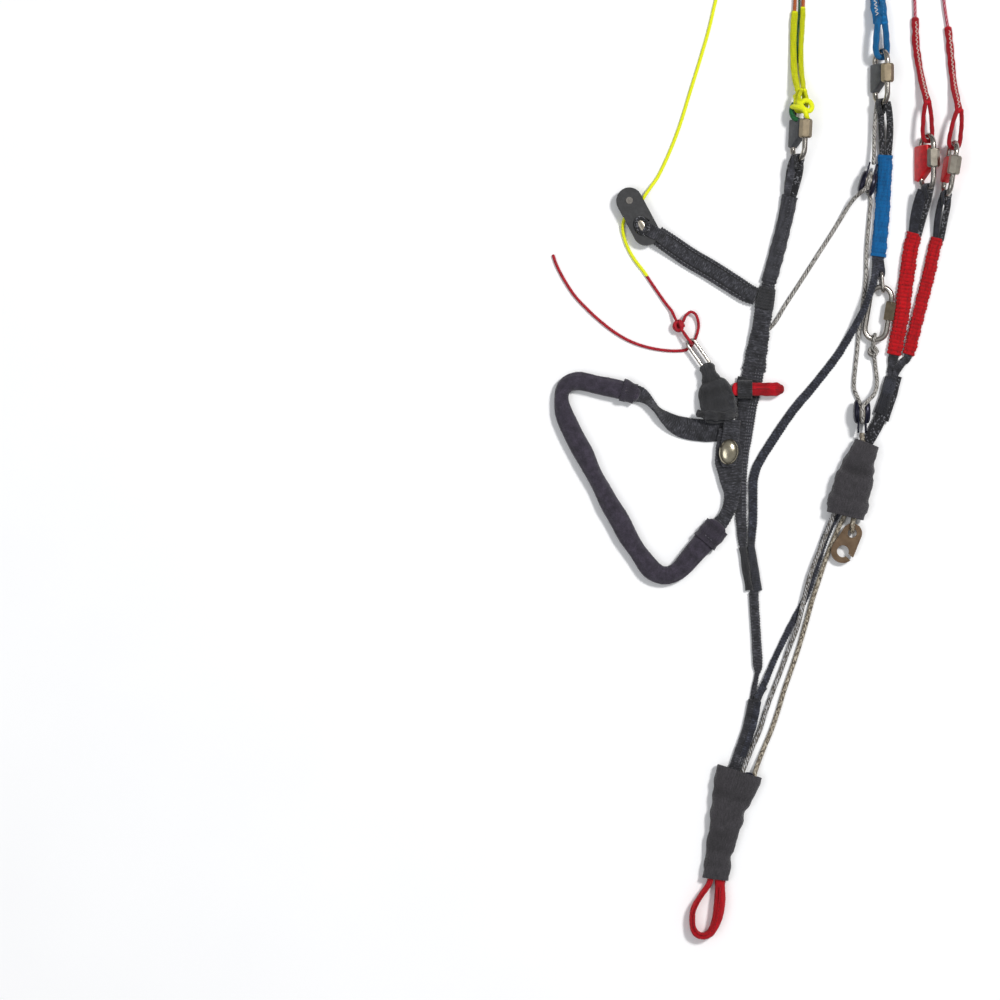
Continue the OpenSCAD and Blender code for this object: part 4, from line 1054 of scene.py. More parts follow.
def b_strap():
    lower = Route(B_ROUTE, 0.3, part=(0, 15.2))
    webbing("b_web_main", lower, "web_navy", ribs(1.9, 0.4, slant=0.8), stands_for="b_web")
    relief, fleck = knit(0.75, 0.2, 7)
    left = pts(2.2, (82.2, 216, 2.6, 4), (81.6, 226, 3.8, 4.4, 2.4), (81, 236, 6.6, 4.4, 2.4),
        (80.4, 244, 8.4, 4.2), (79.8, 249, 8.6, 3.6, 2))
    right = pts(2.2, (85.8, 216, 2.6, 4), (86.4, 226, 4.2, 4.6, 2.4), (86.4, 236, 8, 4.6, 2.4),
        (85.4, 245, 12, 4.4), (84.4, 250, 13.6, 3.8, 2))
    for name, points in (("left", left), ("right", right)):
        webbing(f"b_web_leg_{name}", Route(points, 0.2), "speckled", relief, fleck, flat=12)
    web_eye("b_web_eye_under", B_AT, 5, "web")
    inner = Route(B_ROUTE, 0.4, part=(14.6, 19.3), grow=(-0.4, 0.1))
    webbing("b_web_inner", inner, "web_navy", ribs(1.4, 0.1))
    cover = Route(B_ROUTE, 0.35, part=(15.15, 18.9), grow=(1.9, 1.9))
    tube("b_cover_tube", cover, "blue_cover", ribs(2.4, 0.22, wander=0.2), square=0.6,
        stands_for="b_cover", wall=COVER)
    for name, at in (("top", (18.72, 18.92)), ("bottom", (15.13, 15.3))):
        hem = Route(B_ROUTE, 0.2, part=at, grow=(2.6, 2.5))
        tube(f"b_cover_hem_{name}", hem, "blue_cover", wall=COVER)
    tab = Route(pts(1.2, (81.2, 138.9, 4.4, 4.2), (81.2, 141.6, 4.4, 5), (80.9, 145, 4.3, 5),
        (80.4, 149, 3.7, 5)), 0.3)
    webbing("b_web_tab", tab, "web_navy", ribs(1.2, 0.12))


A_TOPS = {"a1": (pts(2.2, (101.8, 165, 2.4, 6.6), (103, 176, 4.2, 7.4), (105, 186, 7.4, 7.6),
    (107.2, 194, 10, 6.6)), pts(2.2, (105.4, 165, 2.8, 3.2), (108, 176, 5, 3.6), (110.6, 186, 8.8, 3.8),
    (112, 194, 13, 3.6))), "a2": (pts(2.2, (116, 162, 2.4, 3.8), (116.8, 174, 4.6, 4.2),
    (118.2, 184, 8, 4.2), (120, 190.6, 9.8, 3.8, 2)), pts(2.2, (119.4, 162, 2.6, 3.6), (121.4, 174, 5, 4),
    (123, 184, 9, 4), (123.2, 190.6, 13, 3.8, 2)))}


def a_strap():
    lower = Route(A_ROUTE, 0.3, part=(0, 12.8))
    webbing("a_web_lower", lower, "web_navy", ribs(1.9, 0.4, slant=0.8), stands_for="a_web")
    relief, fleck = knit(0.8, 0.2, 4)
    upper = Route(A_ROUTE, 0.3, part=(12.6, 16.5))
    webbing("a_web_upper", upper, "grey_speck", relief, fleck, flat=18)
    join = Route(A_ROUTE, 0.3, part=(16.2, 18), grow=(2.5, 1.9))
    tube("a_join_tube_body", join, "web_navy", wrinkles(0.1, 31), square=0.55, stands_for="a_join_tube",
        wall=COVER)
    core = Route(A_ROUTE, 0.4, part=(16.2, 18), grow=(-0.3, 0))
    webbing("a_web_core", core, "web")
    runs = row_of_stitches(join, 0.15, 1 * MM, join.length - 1 * MM, 2.2, 0.6, 0.25)
    stitched("a_join_stitches", runs, "thread_dark", 0.4)
    strip = Route(pts(2.6, (93, 75, 3.2, 3.2), (90.2, 64, 3.2, 3), (86.6, 53, 3.2, 2.8),
        (84.6, 46.4, 3, 2.4, 2.4)), 0.3)
    webbing("a_join_strip", uneven(strip, 0.3, 19), "grey_speck", relief, fleck)
    for name, points in (("a1_join_core", pts(1.6, (86.6, 70, 2, 4), (87.4, 76, 1.7, 4.2),
            (88.4, 84, 1.5, 4.8))), ("a2_join_core", pts(1.5, (88.4, 71, 2.8, 3.6, 1.4),
            (90.6, 77, 3.2, 4), (93.6, 83, 3.3, 4.6)))):
        webbing(name, Route(points, 0.3), "web", ribs(1.5, 0.14), flat=8)
    for name, points, at, width in (("a1", A1_ROUTE, A1_AT, 6), ("a2", A2_ROUTE, A2_AT, 5.6)):
        relief, fleck = knit(0.75, 0.2, 9 if name == "a1" else 13)
        inner = Route(points, 0.35, part=(0, 6.2), grow=(-0.3, 0))
        webbing(f"{name}_web_inner", inner, "web", ribs(1.5, 0.12), stands_for=f"{name}_web")
        for k, leg in enumerate(A_TOPS[name]):
            webbing(f"{name}_web_leg_{k + 1}", Route(leg, 0.2), "web_navy" if k == 0 else "speckled",
                relief, fleck, flat=14)
        web_eye(f"{name}_web_eye", at, width, "web_navy")
        cover = Route(points, 0.3, part=(2, 6), grow=(1.9, 1.9))
        tube(f"{name}_cover", cover, "red_cover", ribs(2.5, 0.42, wander=0.2), stands_for="a_covers",
            wall=COVER)
        runs = [r for a in (-0.45, 0.45) for r in row_of_stitches(cover, a, 1 * MM, cover.length - 1 * MM,
            3.0, 0.6, 0.05)]
        stitched(f"{name}_cover_stitches", runs, "thread_red", 0.36)


def root_and_tubes():
    root = Route(pts(3.6, (0.3, -131.8, 2, 8.3), (-3.5, -150, 1.9, 8.3, 3.4), (-10.4, -169, 2.3, 7.4, 2.6),
        (-14.6, -184, 2.4, 8, 2), (-19, -212, 2.7, 8.5, 2.4), (-23.4, -235.6, 3.2, 8.5, 3)), 0.3)
    webbing("root_web_stack", root, "web", ribs(1.5, 0.16), stands_for="root_web", flat=14)
    upper = Route(pts(1.0, (2.4, -132.6, 4.1, 4.2), (-1.2, -150, 3.9, 4.2), (-7.4, -168, 3.8, 3.8, 0.8)),
        0.3)
    webbing("root_web_layer", upper, "web_navy", ribs(1.3, 0.12))
    stitched("root_web_zigzag", zigzag(root, 3 * MM, 42 * MM, 2.4, 0.16, -0.42, 0.3), "thread_grey", 0.34)
    stitched("root_web_row", row_of_stitches(root, -0.82, 2 * MM, 42 * MM, 2.2, 0.55, 0.2), "thread_grey",
        0.3)

    lower = Route(pts(2.8, (-0.4, -62.7, 1.5, 6), (0.2, -74, 1.5, 6), (1.5, -93, 1.5, 6),
        (2.2, -108, 1.5, 6), (2.2, -112.5, 1.3, 4.4, 2), (1.6, -116, 1.1, 3, 1.6),
        (0.2, -124, 1.1, 3, 1.6), (-1.2, -131, 1.2, 3, 1.6)), 0.3)
    webbing("c_lower_web", lower, "web", ribs(1.8, 0.32), stands_for="c_lower")
    for a in (-0.7, 0.7):
        stitched(f"c_lower_row_{'left' if a < 0 else 'right'}", row_of_stitches(lower, a, 2 * MM, 44 * MM,
            2.3, 0.55, 0.2), "thread_grey", 0.28)
    left = Route(pts(3.5, (-7.2, -33.8, 1.9, 5.0), (-5.2, -47.5, 1.9, 5.3), (-3.2, -61.4, 1.9, 5.2, 3.4)),
        0.3)
    right = Route(pts(3.4, (-2.1, -33.4, 1.9, 4.9, 3.3), (0.1, -47.5, 1.9, 5.3), (2.4, -62, 1.9, 5.4)), 0.3)
    tube("c_join_left", left, "blackrib", wrinkles(0.1, 41), 28, 0.7, stands_for="c_join_tube")
    tube("c_join_right", right, "web_navy", ribs(1.7, 0.14), 28, 0.7)
    for name, points in (("c_join_core_top", pts(2, (-7.4, -28, 1.3, 4.6), (-6.8, -36, 1.6, 4.2),
            (-6, -42, 1.8, 4))), ("b_join_core_top", pts(2, (-1.4, -27, 1.2, 4.6, 1.7),
            (-1.9, -34, 1.5, 4.4), (-1, -42, 1.8, 4))), ("c_join_core_bottom",
            pts(2.2, (0.6, -56, 1.6, 5.2), (0, -63, 1.6, 5.4, 2.4), (0.2, -68, 1.5, 5.2))),
            ("root_core_top", pts(1.4, (0.4, -120, 1.2, 2.8), (-0.8, -130, 1.4, 3.6, 1.6),
            (-0.6, -138, 1.8, 6, 2))), ("root_core_side", pts(1.5, (6.4, -123, 3, 4.6),
            (2.8, -129, 3.3, 4.6), (0.6, -136, 3, 4.6, 1.6)))):
        webbing(name, Route(points, 0.3), "web", ribs(1.6, 0.16), flat=8)


def hang_loop():
    points = pts(9, (-28.2, -236.6, 4.2, 3.4, 5.4), (-28.4, -247.5, 4.3, 3.4, 5.6),
        (-33.8, -256, 4.6, 3.2), (-39, -265, 4.6, 3.2), (-39.6, -275, 4.6, 3.6), (-37.4, -280.6, 4.6, 4),
        (-32.6, -282.4, 4.6, 4.2), (-27.6, -279.6, 4.6, 4.8), (-23.8, -271, 4.6, 6.2),
        (-22.2, -261, 4.6, 7), (-22, -250, 4.3, 6.2, 5.6), (-22.4, -236.6, 4.2, 6, 5.4))
    loop = Route(points, 0.3)
    tube("hang_loop_webbing", loop, "red_web", ribs(1.35, 0.16, wander=0.1), 40, 0.55,
        stands_for="hang_loop")
    inner = Route(pts(1, (-29.9, -252.4, 9.3, 1), (-34.8, -259, 9.5, 1), (-38.6, -268, 9.5, 1),
        (-38.6, -276, 9.5, 1), (-35.2, -280.6, 9.5, 1), (-30, -280.4, 9.5, 1), (-26, -275.6, 9.5, 1),
        (-24, -268, 9.5, 1), (-22.6, -258, 9.4, 1), (-22.2, -251, 8.2, 1)), 0.3)
    tube("hang_loop_edge", inner, "red_web", ribs(1.1, 0.1), 10, 1)
    stitched("hang_loop_stitches", row_of_stitches(inner, 0.9, 2 * MM, inner.length - 2 * MM, 2.3, 0.6,
        0.1), "thread_red", 0.4)


# ---- Sleeves ----
def hem_stitches(route, s, shares, half, square, height):
    """Stitches across a tube's upper face at distance s, each centred on a share of its width."""
    runs = []
    for share in shares:
        across = share + np.linspace(-half, half, 6)
        at = np.full(6, s)
        edge = (1 - np.abs(across) ** (1 / square)) ** square
        drop = np.interp(at, route.s, route.t) / 2 * (1 - edge)
        lift = np.array([-0.1, 0.3, height, height, 0.3, -0.1]) * MM
        runs.append(route.on_top(at, across) + interp_up(route, at) * (lift - drop)[:, None])
    return runs


def sleeve(name, points, seed, stands_for, finish="neoprene", depth=0.36, hem=2.6):
    """A neoprene sleeve: wrinkled, open at both ends, with a stitched hem at each."""
    route = Route(points, 0.6)
    crease = wrinkles(depth, seed, 0.18, 0.75)

    def relief(s, turn, y):
        free = np.clip(np.minimum(s, route.length - s) / (5 * MM), 0.25, 1)
        under = np.clip((y + 3.4 * MM) / (2 * MM), 0.1, 1)
        return np.minimum(crease(s, turn, y) * free * under, 0.4 * MM)
    tube(name, route, finish, relief, 72, stands_for=stands_for, wall=0.9 * MM)
    runs = []
    for s in ((hem + 0.005) * MM, route.length - (hem - 0.005) * MM):
        runs += hem_stitches(route, s, np.linspace(-0.86, 0.86, 12), 0.045, 0.62, 0.42)
    stitched(f"{name}_hems", runs, "thread_dark", 0.45)


def sleeves():
    sleeve("main_sleeve_neoprene", pts(10.4, (-9.4, -177, 5.2, 29.4), (-12.7, -187.5, 5.2, 28.2),
        (-16, -199, 4.9, 23, 9.8), (-19.5, -215, 4.5, 19.6, 9), (-22.4, -227, 4.3, 17.4, 8.6),
        (-25, -246, 4.3, 17.2, 8.6)), 51, "main_sleeve")
    sleeve("a_sleeve_neoprene", pts(12, (57.8, -14, 6, 24.4), (60.5, -3, 6, 25.4), (65, 14, 6, 22.4),
        (69, 25, 5.8, 18.4, 11.4), (71.8, 32.4, 5.2, 15.6, 10)), 61, "a_sleeve", depth=0.6)


# ---- Brake strap and keeper ----
BRAKE_DIR = 30


def brake_strap():
    centre = Vector((-71.4, 171.2, 4.6))
    turn = Matrix.Rotation(math.radians(-BRAKE_DIR), 4, "Z")

    def world(x, z, y=0.0):
        v = centre + turn @ Vector((x, y, z))
        return [v.x, v.y, v.z]
    half = [(15.4, 1.9), (11, 3.3), (5, 3.9), (1.2, 3.5)]
    points = [world(x, z) for x, z in half] + [world(-0.5, 0)] + [world(x, -z) for x, z in reversed(half)]
    side = turn.to_3x3() @ Vector((0, 1, 0))
    eye = Route(points, 0.3, (8, 1.1), side=side)
    webbing("brake_strap_eye", eye, "web", ribs(1.3, 0.12), stands_for="brake_strap")
    strap = Route(pts(3.2, (-62.5, 165.6, 4.8, 11.4, 4.4), (-52.8, 159, 3, 12.6, 3.6),
        (-41, 151, 2.2, 12.8, 3.4), (-27, 142.8, 2.2, 12.8, 3.4), (-12.5, 133.6, 2.4, 12.4),
        (-4.5, 128.6, 3, 11.4), (1, 126.4, 3.3, 10.4)), 0.35)

    def edged(s, across, y):
        """A quilted middle between two rolled edges that a seam pulls in."""
        x, place = across / MM, s / MM
        channel = np.exp(-((np.abs(x) - 4.1) / 0.5) ** 2)
        rolled = np.exp(-((np.abs(x) - 5.6) / 0.8) ** 2) * (1 + 0.6 * np.sin(2 * math.pi * place / 1.9))
        quilt = ripple(place, x, 44, 9, 0.8, 2.6) * np.exp(-(x / 3.6) ** 4)
        return MM * (0.26 * np.exp(-(x / 3.2) ** 4) - 0.4 * channel + 0.26 * rolled + 0.12 * quilt)
    webbing("brake_strap_body", strap, "web", edged, flat=44)
    for a in (-0.74, 0.74):
        stitched(f"brake_strap_row_{'near' if a < 0 else 'far'}",
            row_of_stitches(strap, a, 4 * MM, strap.length - 5 * MM, 2.4, 0.62, -0.1), "thread_grey", 0.36)
    collar = Route(C_ROUTE, 0.3, part=(8.62, 9.6), grow=(1.4, 2.4))
    tube("brake_strap_collar", collar, "blackrib", ribs(2.0, 0.2), 40, 0.5, wall=0.9 * MM)


def becket_ring():
    """The oval webbing ring round the brake pulley's becket, over a worn metal spacer."""
    centre, heading = np.array((-71.9, 171.3)), math.radians(62)
    forward, side = np.array((-math.cos(heading), math.sin(heading))), np.array((math.sin(heading),
        math.cos(heading)))
    turn = np.linspace(0, 2 * math.pi, 33)
    flat = centre + np.outer(np.cos(turn) * 5.2, forward) + np.outer(np.sin(turn) * 3.4, side)
    points = [[x, y, 8.9, 2.4, 1.9, 0] for x, y in flat]
    relief, fleck = knit(0.8, 0.16, 8)
    webbing("becket_ring", Route(points, 0.3), "grey_speck", relief, fleck, flat=8)
    spacer = [[*(centre + forward * v), 8.3, 4.6, 1.0, 0] for v in (-3.8, 0, 3.8)]
    tube("becket_spacer", Route(spacer, 0.3), "nut_steel", None, 24, 1)


def keeper_and_peg():
    points = [[-6.25, 61.4, 6.1], [-6.25, 61.5, 8.2], [-6.25, 63.5, 9.2], [-6.25, 67, 9.35],
        [-6.25, 70.5, 9.2], [-6.25, 72.4, 8.2], [-6.25, 72.5, 6.1], [-6.25, 72.4, 4], [-6.25, 70.5, 3],
        [-6.25, 67, 2.85], [-6.25, 63.5, 3], [-6.25, 61.5, 4], [-6.25, 61.3, 6]]
    loop = Route(points, 0.25, (9.4, 0.6), side=(1, 0, 0))
    webbing("keeper_elastic", loop, "blackrib", ribs(1.1, 0.1), stands_for="keeper_band")
    under = Route(pts(0.8, (-6.2, 60.6, 3.0, 14), (-5, 66, 3.0, 14.4), (-3.4, 74, 3.0, 14.6)), 0.3)
    webbing("keeper_base", under, "blackrib", ribs(1.2, 0.1))
    peg = Route(pts(4.8, (-12.2, 67, 6.1, 8.6, 4.7), (0, 67, 6.1, 8.8), (12.4, 67, 6.1, 8.8),
        (15, 67, 6.3, 8, 4.2), (16.6, 67, 6.5, 6, 3)), 0.3, side=(0, 1, 0))
    tube("peg_cloth", peg, "peg", wrinkles(0.12, 71, 0.3, 1.2), 36, 0.5, "handle", "handle_peg",
        ends="round")
    seam = Route([[-1, 67, 8.5], [6, 67.3, 8.55], [13, 66.8, 8.5], [15.6, 66.8, 8.2]], 0.3, (0.5, 0.4))
    tube("peg_seam", seam, "thread_red", None, 8, 1, "handle")


# ---- Cords ----
def cord_piece(name, points, d, finish, weave, body="riser", stands_for=(), around=32, step=0.3,
        ends="round"):
    route = Route(points, step, (d, d), carry=True)
    return dress(loft(name, route, oval(around), *weave, ends=ends), finish, body, stands_for), route


GREY_SHADES = (0.55, 0.9, 0.2, 0.8, 0.6, 1.0, 0.1, 0.75)
PALE_SHADES = (0.4, 0.9, 0.3, 0.7, 0.1, 0.6, 0.4, 1.0)
SAND_SHADES = (0.4, 0.8, 0.5, 0.2, 0.9, 0.5, 0.6, 0.3)


def small_knot(name, centre, size, d, finish, weave, body="riser", turns=4):
    """A round stopper knot: a cord wound on a ball, crossing itself."""
    k = np.linspace(0, 1, 34)
    a = k * turns * 2 * math.pi
    b = k * (turns - 1) * 2 * math.pi + 0.6
    r = size - d / 2
    x = centre[0] + r * np.cos(a) * np.cos(b * 0.5)
    y = centre[1] + r * np.sin(a)
    z = centre[2] + r * 0.72 * np.cos(a) * np.sin(b * 0.5)
    return cord_piece(name, np.stack([x, y, z], 1), d, finish, weave, body)[0]


def rigging():
    grey = braid(8, 10, 0.22, GREY_SHADES, 0, 0.9)
    cord_piece("link_cord_braid", LINK_CORD, 2.4, "grey_cord", grey, stands_for="link_cord")
    eye = [[p[0], -p[1], p[2]] for p in eye_route(2.2, 6)]
    cord_piece("link_cord_eye", loop_points(eye, OVAL_AT), 2.2, "grey_cord", grey)
    small_knot("link_cord_knot", (76, 91, 3.7), 3.7, 2.1, "grey_cord", grey)
    pale = braid(8, 10, 0.22, PALE_SHADES, 1, 0.9)
    sand = braid(8, 10, 0.22, SAND_SHADES, 2, 0.9)
    cord_piece("speed_cord_hook", SPEED_CORD_HOOK, 2.8, "sand_cord", sand, stands_for="speed_cord")
    cord_piece("speed_cord_left", SPEED_CORD_LEFT + SPEED_CORD_BASE[:2], 2.8, "pale_cord", pale)
    cord_piece("speed_cord_right", SPEED_CORD_BASE[1:] + SPEED_CORD_RIGHT, 2.8, "sand_cord", sand)
    flat = Route(pts(1.4, (68.5, 39.1, 7.4, 3.4), (68.6, 35.5, 7.9, 3.4), (69.2, 31.5, 8.2, 3.4, 1.2)), 0.2)
    webbing("a_pulley_tether", flat, "sand_cord", *knit(0.9, 0.16, 3), stands_for="pulley_tethers", flat=8)
    cord_piece("b_pulley_tether", [[75.9, 211.4, 7.2], [76.2, 216, 7], [76.4, 225, 5.6], [76.8, 235, 5.6],
        [77.4, 243, 6.6], [78.2, 250, 7.6]], 2.4, "grey_cord", grey)
    for name, points in (("base", pts(1, (-8.5, -194, 4.6, 3, 1.2), (-12, -203, 5, 3),
            (-16.5, -213, 5.3, 3))), ("speed", pts(1.2, (66.4, 18.3, 6.4, 3), (67.4, 23, 6.2, 3),
            (68.6, 28, 5.6, 3)))):
        webbing(f"{name}_pulley_tether", Route(points, 0.3), "web", ribs(1.1, 0.1), flat=8)


def sewn_loop(name, end, d, finish, weave, heading=0.0):
    """The small sewn loop a line ends in, just outside the view."""
    x, y, z = end
    c = math.cos(heading)
    s = math.sin(heading)
    shape = [(0, -1.5), (0.2, 1.5), (1.5, 4.2), (2.3, 7), (1.6, 9.4), (0, 10.3), (-1.6, 9.4), (-2.3, 7),
        (-1.5, 4.2), (-0.2, 1.6)]
    points = [[x + u * c + v * s, y - u * s + v * c, z] for u, v in shape]
    return cord_piece(name, points, d, finish, weave, around=20, step=0.4)[0]


# For each line: its bare piece, its points, its width and the pieces on it
LINE_ENDS = []


def legs(name, at, d, finish, reach, offsets=(0,)):
    """A line's legs round a link, one for each offset along the bow."""
    out = []
    for k, x in enumerate(offsets):
        eye = [[p[0] + x, p[1], p[2]] for p in eye_route(d, reach)]
        route = Route(loop_points(eye, at), 0.35, (d, d), carry=True)
        out.append(tube(f"{name}_legs_{k + 1}", route, finish, wrinkles(0.06, 80 + k, 0.5, 1.5), 24, 1,
            ends="round"))
    return out


def lines():
    fleck_weave = braid(6, 9, 0.14, (0.4, 1.0, 0.3, 0.8, 0.5, 0.9), 4)
    thin = 1.9
    # The A lines: a thin speckled line goes into a red sheath, which splits into two legs
    for name, points, at, cut in (("a1_line", A1_LINE, A1_AT, 5.3), ("a2_line", A2_LINE, A2_AT, 5.05)):
        body = Route(points_with(points, 4.4, 3.3), 0.35, part=(0, cut))
        piece = tube(f"{name}_sheath", body, "red_sheath", wrinkles(0.12, 17 + int(cut), 0.4, 1.4), 28,
            0.8, stands_for=name, ends="round")
        stitched(f"{name}_zigzag", zigzag(body, 1.5 * MM, body.length - 1 * MM, 2.7, 0.3, 0.25, 0.16),
            "thread_white", 0.42)
        bare = dress(loft(f"{name}_bare", Route(points_with(points, thin, thin), 0.3), oval(24),
            *fleck_weave), "red_fleck")
        end = sewn_loop(f"{name}_end_loop", points[-1], thin, "red_fleck", fleck_weave)
        pair = legs(name, at, 2.8, "red_sheath", 21)
        LINE_ENDS.append((bare, points, thin, [piece, end, *pair]))
    # The B lines: two blue sheaths side by side, each with one leg round the link
    blue_parts = []
    for name, points in (("b_line_left", B_LINE_L), ("b_line_right", B_LINE_R)):
        body = Route(points_with(points, 5.2 if name.endswith("left") else 4.8, 3.4), 0.35)
        piece = tube(name, body, "blue_sheath", wrinkles(0.12, 25, 0.4, 1.4), 28, 0.8, stands_for="b_lines"
            if name.endswith("left") else (), ends="round")
        end = sewn_loop(f"{name}_end_loop", points[-1], 2.2, "blue_sheath", braid(8, 11, 0.12, (0.5,) * 8))
        blue_parts.append((piece, points, end))
        if name.endswith("left"):
            stitched(f"{name}_zigzag", zigzag(body, 4 * MM, body.length - 1 * MM, 2.4, 0.36, 0.2, 0.18),
                "thread_white", 0.42)
        else:
            stitched(f"{name}_row", row_of_stitches(body, 0.1, 3 * MM, body.length - 2 * MM, 2.2, 0.6,
                0.1), "thread_blue", 0.36)
    pair = legs("b_line", B_AT, 4.0, "blue_sheath", 21)
    LINE_ENDS.append((blue_parts[0][0], B_LINE_L, 5.0, [blue_parts[0][2], *pair]))
    LINE_ENDS.append((blue_parts[1][0], B_LINE_R, 4.6, [blue_parts[1][2]]))
    # The C lines: thin orange lines that go into two yellow sheaths, knotted on the link
    for name, points, width, cut in (("c_line_left", C_LINE_L, 4.0, 4.7),
            ("c_line_right", C_LINE_R, 3.1, 4.9)):
        body = Route(points_with(points, width, 3.0), 0.35, part=(0, cut))
        piece = tube(f"{name}_sheath", body, "yellow_sheath", ribs(1.7, 0.1, wander=0.1), 28, 0.8,
            stands_for="c_lines" if name.endswith("left") else (), ends="round")
        orange_weave = braid(6, 9, 0.14, (0.3, 0.6, 0.4, 0.7, 0.5, 0.2), 5)
        bare = dress(loft(f"{name}_bare", Route(points_with(points, 2.2, 2.2), 0.3), oval(24),
            *orange_weave), "orange")
        end = sewn_loop(f"{name}_end_loop", points[-1], 2.0, "orange", orange_weave)
        more = legs("c_line", C_AT, 2.6, "yellow_sheath", 10, (-1.5, 1.5)) if name.endswith("left") else []
        LINE_ENDS.append((bare, points, 2.2, [piece, end, *more]))
    cord_piece("c_line_marker", [[28.2, 276, 1.2], [27.6, 290, 1], [28.6, 304, 1], [29, 320, 1],
        [29.2, 336, 1]], 0.9, "green", braid(4, 6, 0.05, (0.4, 0.6, 0.4, 0.7)), around=12)
    knot_on_c_link()


def points_with(points, w, t):
    """Bare points with one width and thickness."""
    return [[*p[:3], w, t, 0] for p in points]


def knot_on_c_link():
    """The lark's head on the C link: yellow turns over a green one."""
    yellow = braid(8, 12, 0.1, (0.4, 0.8, 0.5, 0.7, 0.5, 0.9, 0.4, 0.6))
    turns = [("c_knot_turn_1", [[24, 247, 9], [26.6, 246.6, 13.6], [30.7, 245.1, 17.2],
        [34.4, 243.9, 17.8], [36, 246.4, 16.4], [34.9, 249.8, 14.4], [32, 250.9, 13.6],
        [29.8, 249.8, 12.4], [28.4, 252, 9]], "yellow"), ("c_knot_turn_2",
        [[26, 254, 7.6], [26.8, 250.4, 11], [29, 247.8, 15], [31.6, 243.6, 17.8], [32.6, 240.6, 17],
        [33.4, 239, 14]], "yellow"), ("c_knot_turn_green", [[25, 249, 6.4], [23.7, 246.4, 8],
        [23.6, 243, 9.2], [24.8, 240, 10], [27.2, 238.8, 10.6]], "green")]
    for name, points, finish in turns:
        cord_piece(name, points, 3.2, finish, yellow, around=24)


def brake():
    """The brake line, which turns red at its point 18, its knot round the swivel ring, and its tail."""
    weave = braid(6, 8, 0.12, (0.3, 0.7, 0.5, 0.9, 0.4, 0.6), 6)
    red_weave = braid(6, 8, 0.14, (0.3, 0.6, 0.5, 1.0, 0.4, 0.7), 7)
    route = Route(points_with(BRAKE_LINE, 2.0, 2.0), 0.3, part=(0, 18.2))
    yellow = loft("brake_line_yellow", route, oval(20), *weave, ends="round")
    dress(yellow, "yellow", "riser", "brake_line")
    lower = Route([*BRAKE_LINE[18:], [-51.8, 115, 2.8], [-50.6, 112.2, 3.6], [-49, 109.2, 4.4]], 0.3,
        (1.8, 1.8), carry=True)
    red = loft("brake_line_red", lower, oval(20), *red_weave, ends="round")
    red.data.materials.append(FINISH["red_line"])
    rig.slot(red, "red_line")
    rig.blend(red, "riser", "handle", [v * MM for v in BRAKE_LINE[18]], [v * MM for v in (-51.8, 115, 2.8)])
    end = sewn_loop("brake_line_end_loop", BRAKE_LINE[0], 1.8, "yellow", weave, math.radians(16))
    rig.cord(yellow, exit=[v * MM for v in BRAKE_LINE[18]], length=route.length, diameter=1.8 * MM,
        far_end="knot", stiffness="limp", lay="loose",
        path=[list(p) for p in route.p[::-8]] + [list(route.p[0])], with_pieces=[end])

    loop = [[0, 29, -1.2], [0, 25, -1.9], [0, 21, -2.4], [0, 18.4, -1.9], [0, 17.5, 0], [0, 18.4, 1.9],
        [0, 21, 2.4], [0, 25, 1.9], [0, 29, 1.2]]
    cord_piece("brake_knot_loop", loop_points(loop, SWIVEL_AT), 1.8, "red_line", red_weave, "handle",
        "brake_knot", around=20)
    cord_piece("brake_knot_ear", [[-45.4, 110.6, 5], [-43.6, 114.4, 4.8], [-40.4, 116.4, 4.2],
        [-37, 114, 3.2], [-35.6, 107.5, 2], [-37.2, 100.5, 1.2], [-39.8, 95.5, 1], [-43.9, 92, 1]], 1.8,
        "red_line", red_weave, "handle", around=20)
    centre = np.array(link_matrix(SWIVEL_AT) @ Vector((0, 31.6, -0.6)))
    small_knot("brake_knot_body", centre, 4.1, 2.2, "red_line", red_weave, "handle", turns=4)
    tail, tail_route = cord_piece("brake_tail_cord", TAIL, 1.8, "red_line", red_weave, "handle",
        "brake_tail", around=20)
    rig.cord(tail, exit=[v * MM for v in TAIL[0]], length=tail_route.length, diameter=1.8 * MM,
        far_end="bare", stiffness="limp", lay="loose",
        path=[list(p) for p in tail_route.p[::8]] + [list(tail_route.p[-1])])


def declare_lines():
    for piece, points, width, more in LINE_ENDS:
        route = Route(points_with(points, width, 3), 1)
        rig.cord(piece, exit=[v * MM for v in points[0]], length=route.length, diameter=width * MM,
            far_end="knot", stiffness="limp", lay="taut",
            path=[list(p) for p in route.p[::4]] + [list(route.p[-1])], with_pieces=more)


# ---- Brake handle ----
GRIP = pts(9, (-76, 64, 4.6, 12, 7), (-86, 67, 4.8, 14, 8.8), (-100, 70, 4.8, 14),
    (-113, 72, 4.8, 13, 8.8), (-121, 69.4, 4.6, 11.5, 8), (-123.6, 62, 4.6, 11.5, 8), (-121, 50, 4.8, 14),
    (-113, 33, 4.8, 15), (-98.5, 5, 4.8, 15), (-80, -28, 4.8, 15), (-68.5, -45, 4.8, 14),
    (-62.5, -50.6, 4.6, 12.5, 8.4), (-56, -52, 4.6, 12.5, 8.4), (-49.5, -49.4, 4.8, 13.5, 8.8),
    (-42, -42.5, 4.8, 15), (-33, -32, 4.8, 16), (-23.6, -20.6, 4.4, 16, 7.4))


def applied(obj, name):
    """A new object from what obj's modifiers make of it; obj is removed."""
    depsgraph = bpy.context.evaluated_depsgraph_get()
    mesh = bpy.data.meshes.new_from_object(obj.evaluated_get(depsgraph))
    mesh.name = name
    bpy.data.objects.remove(obj)
    return put(name, mesh)


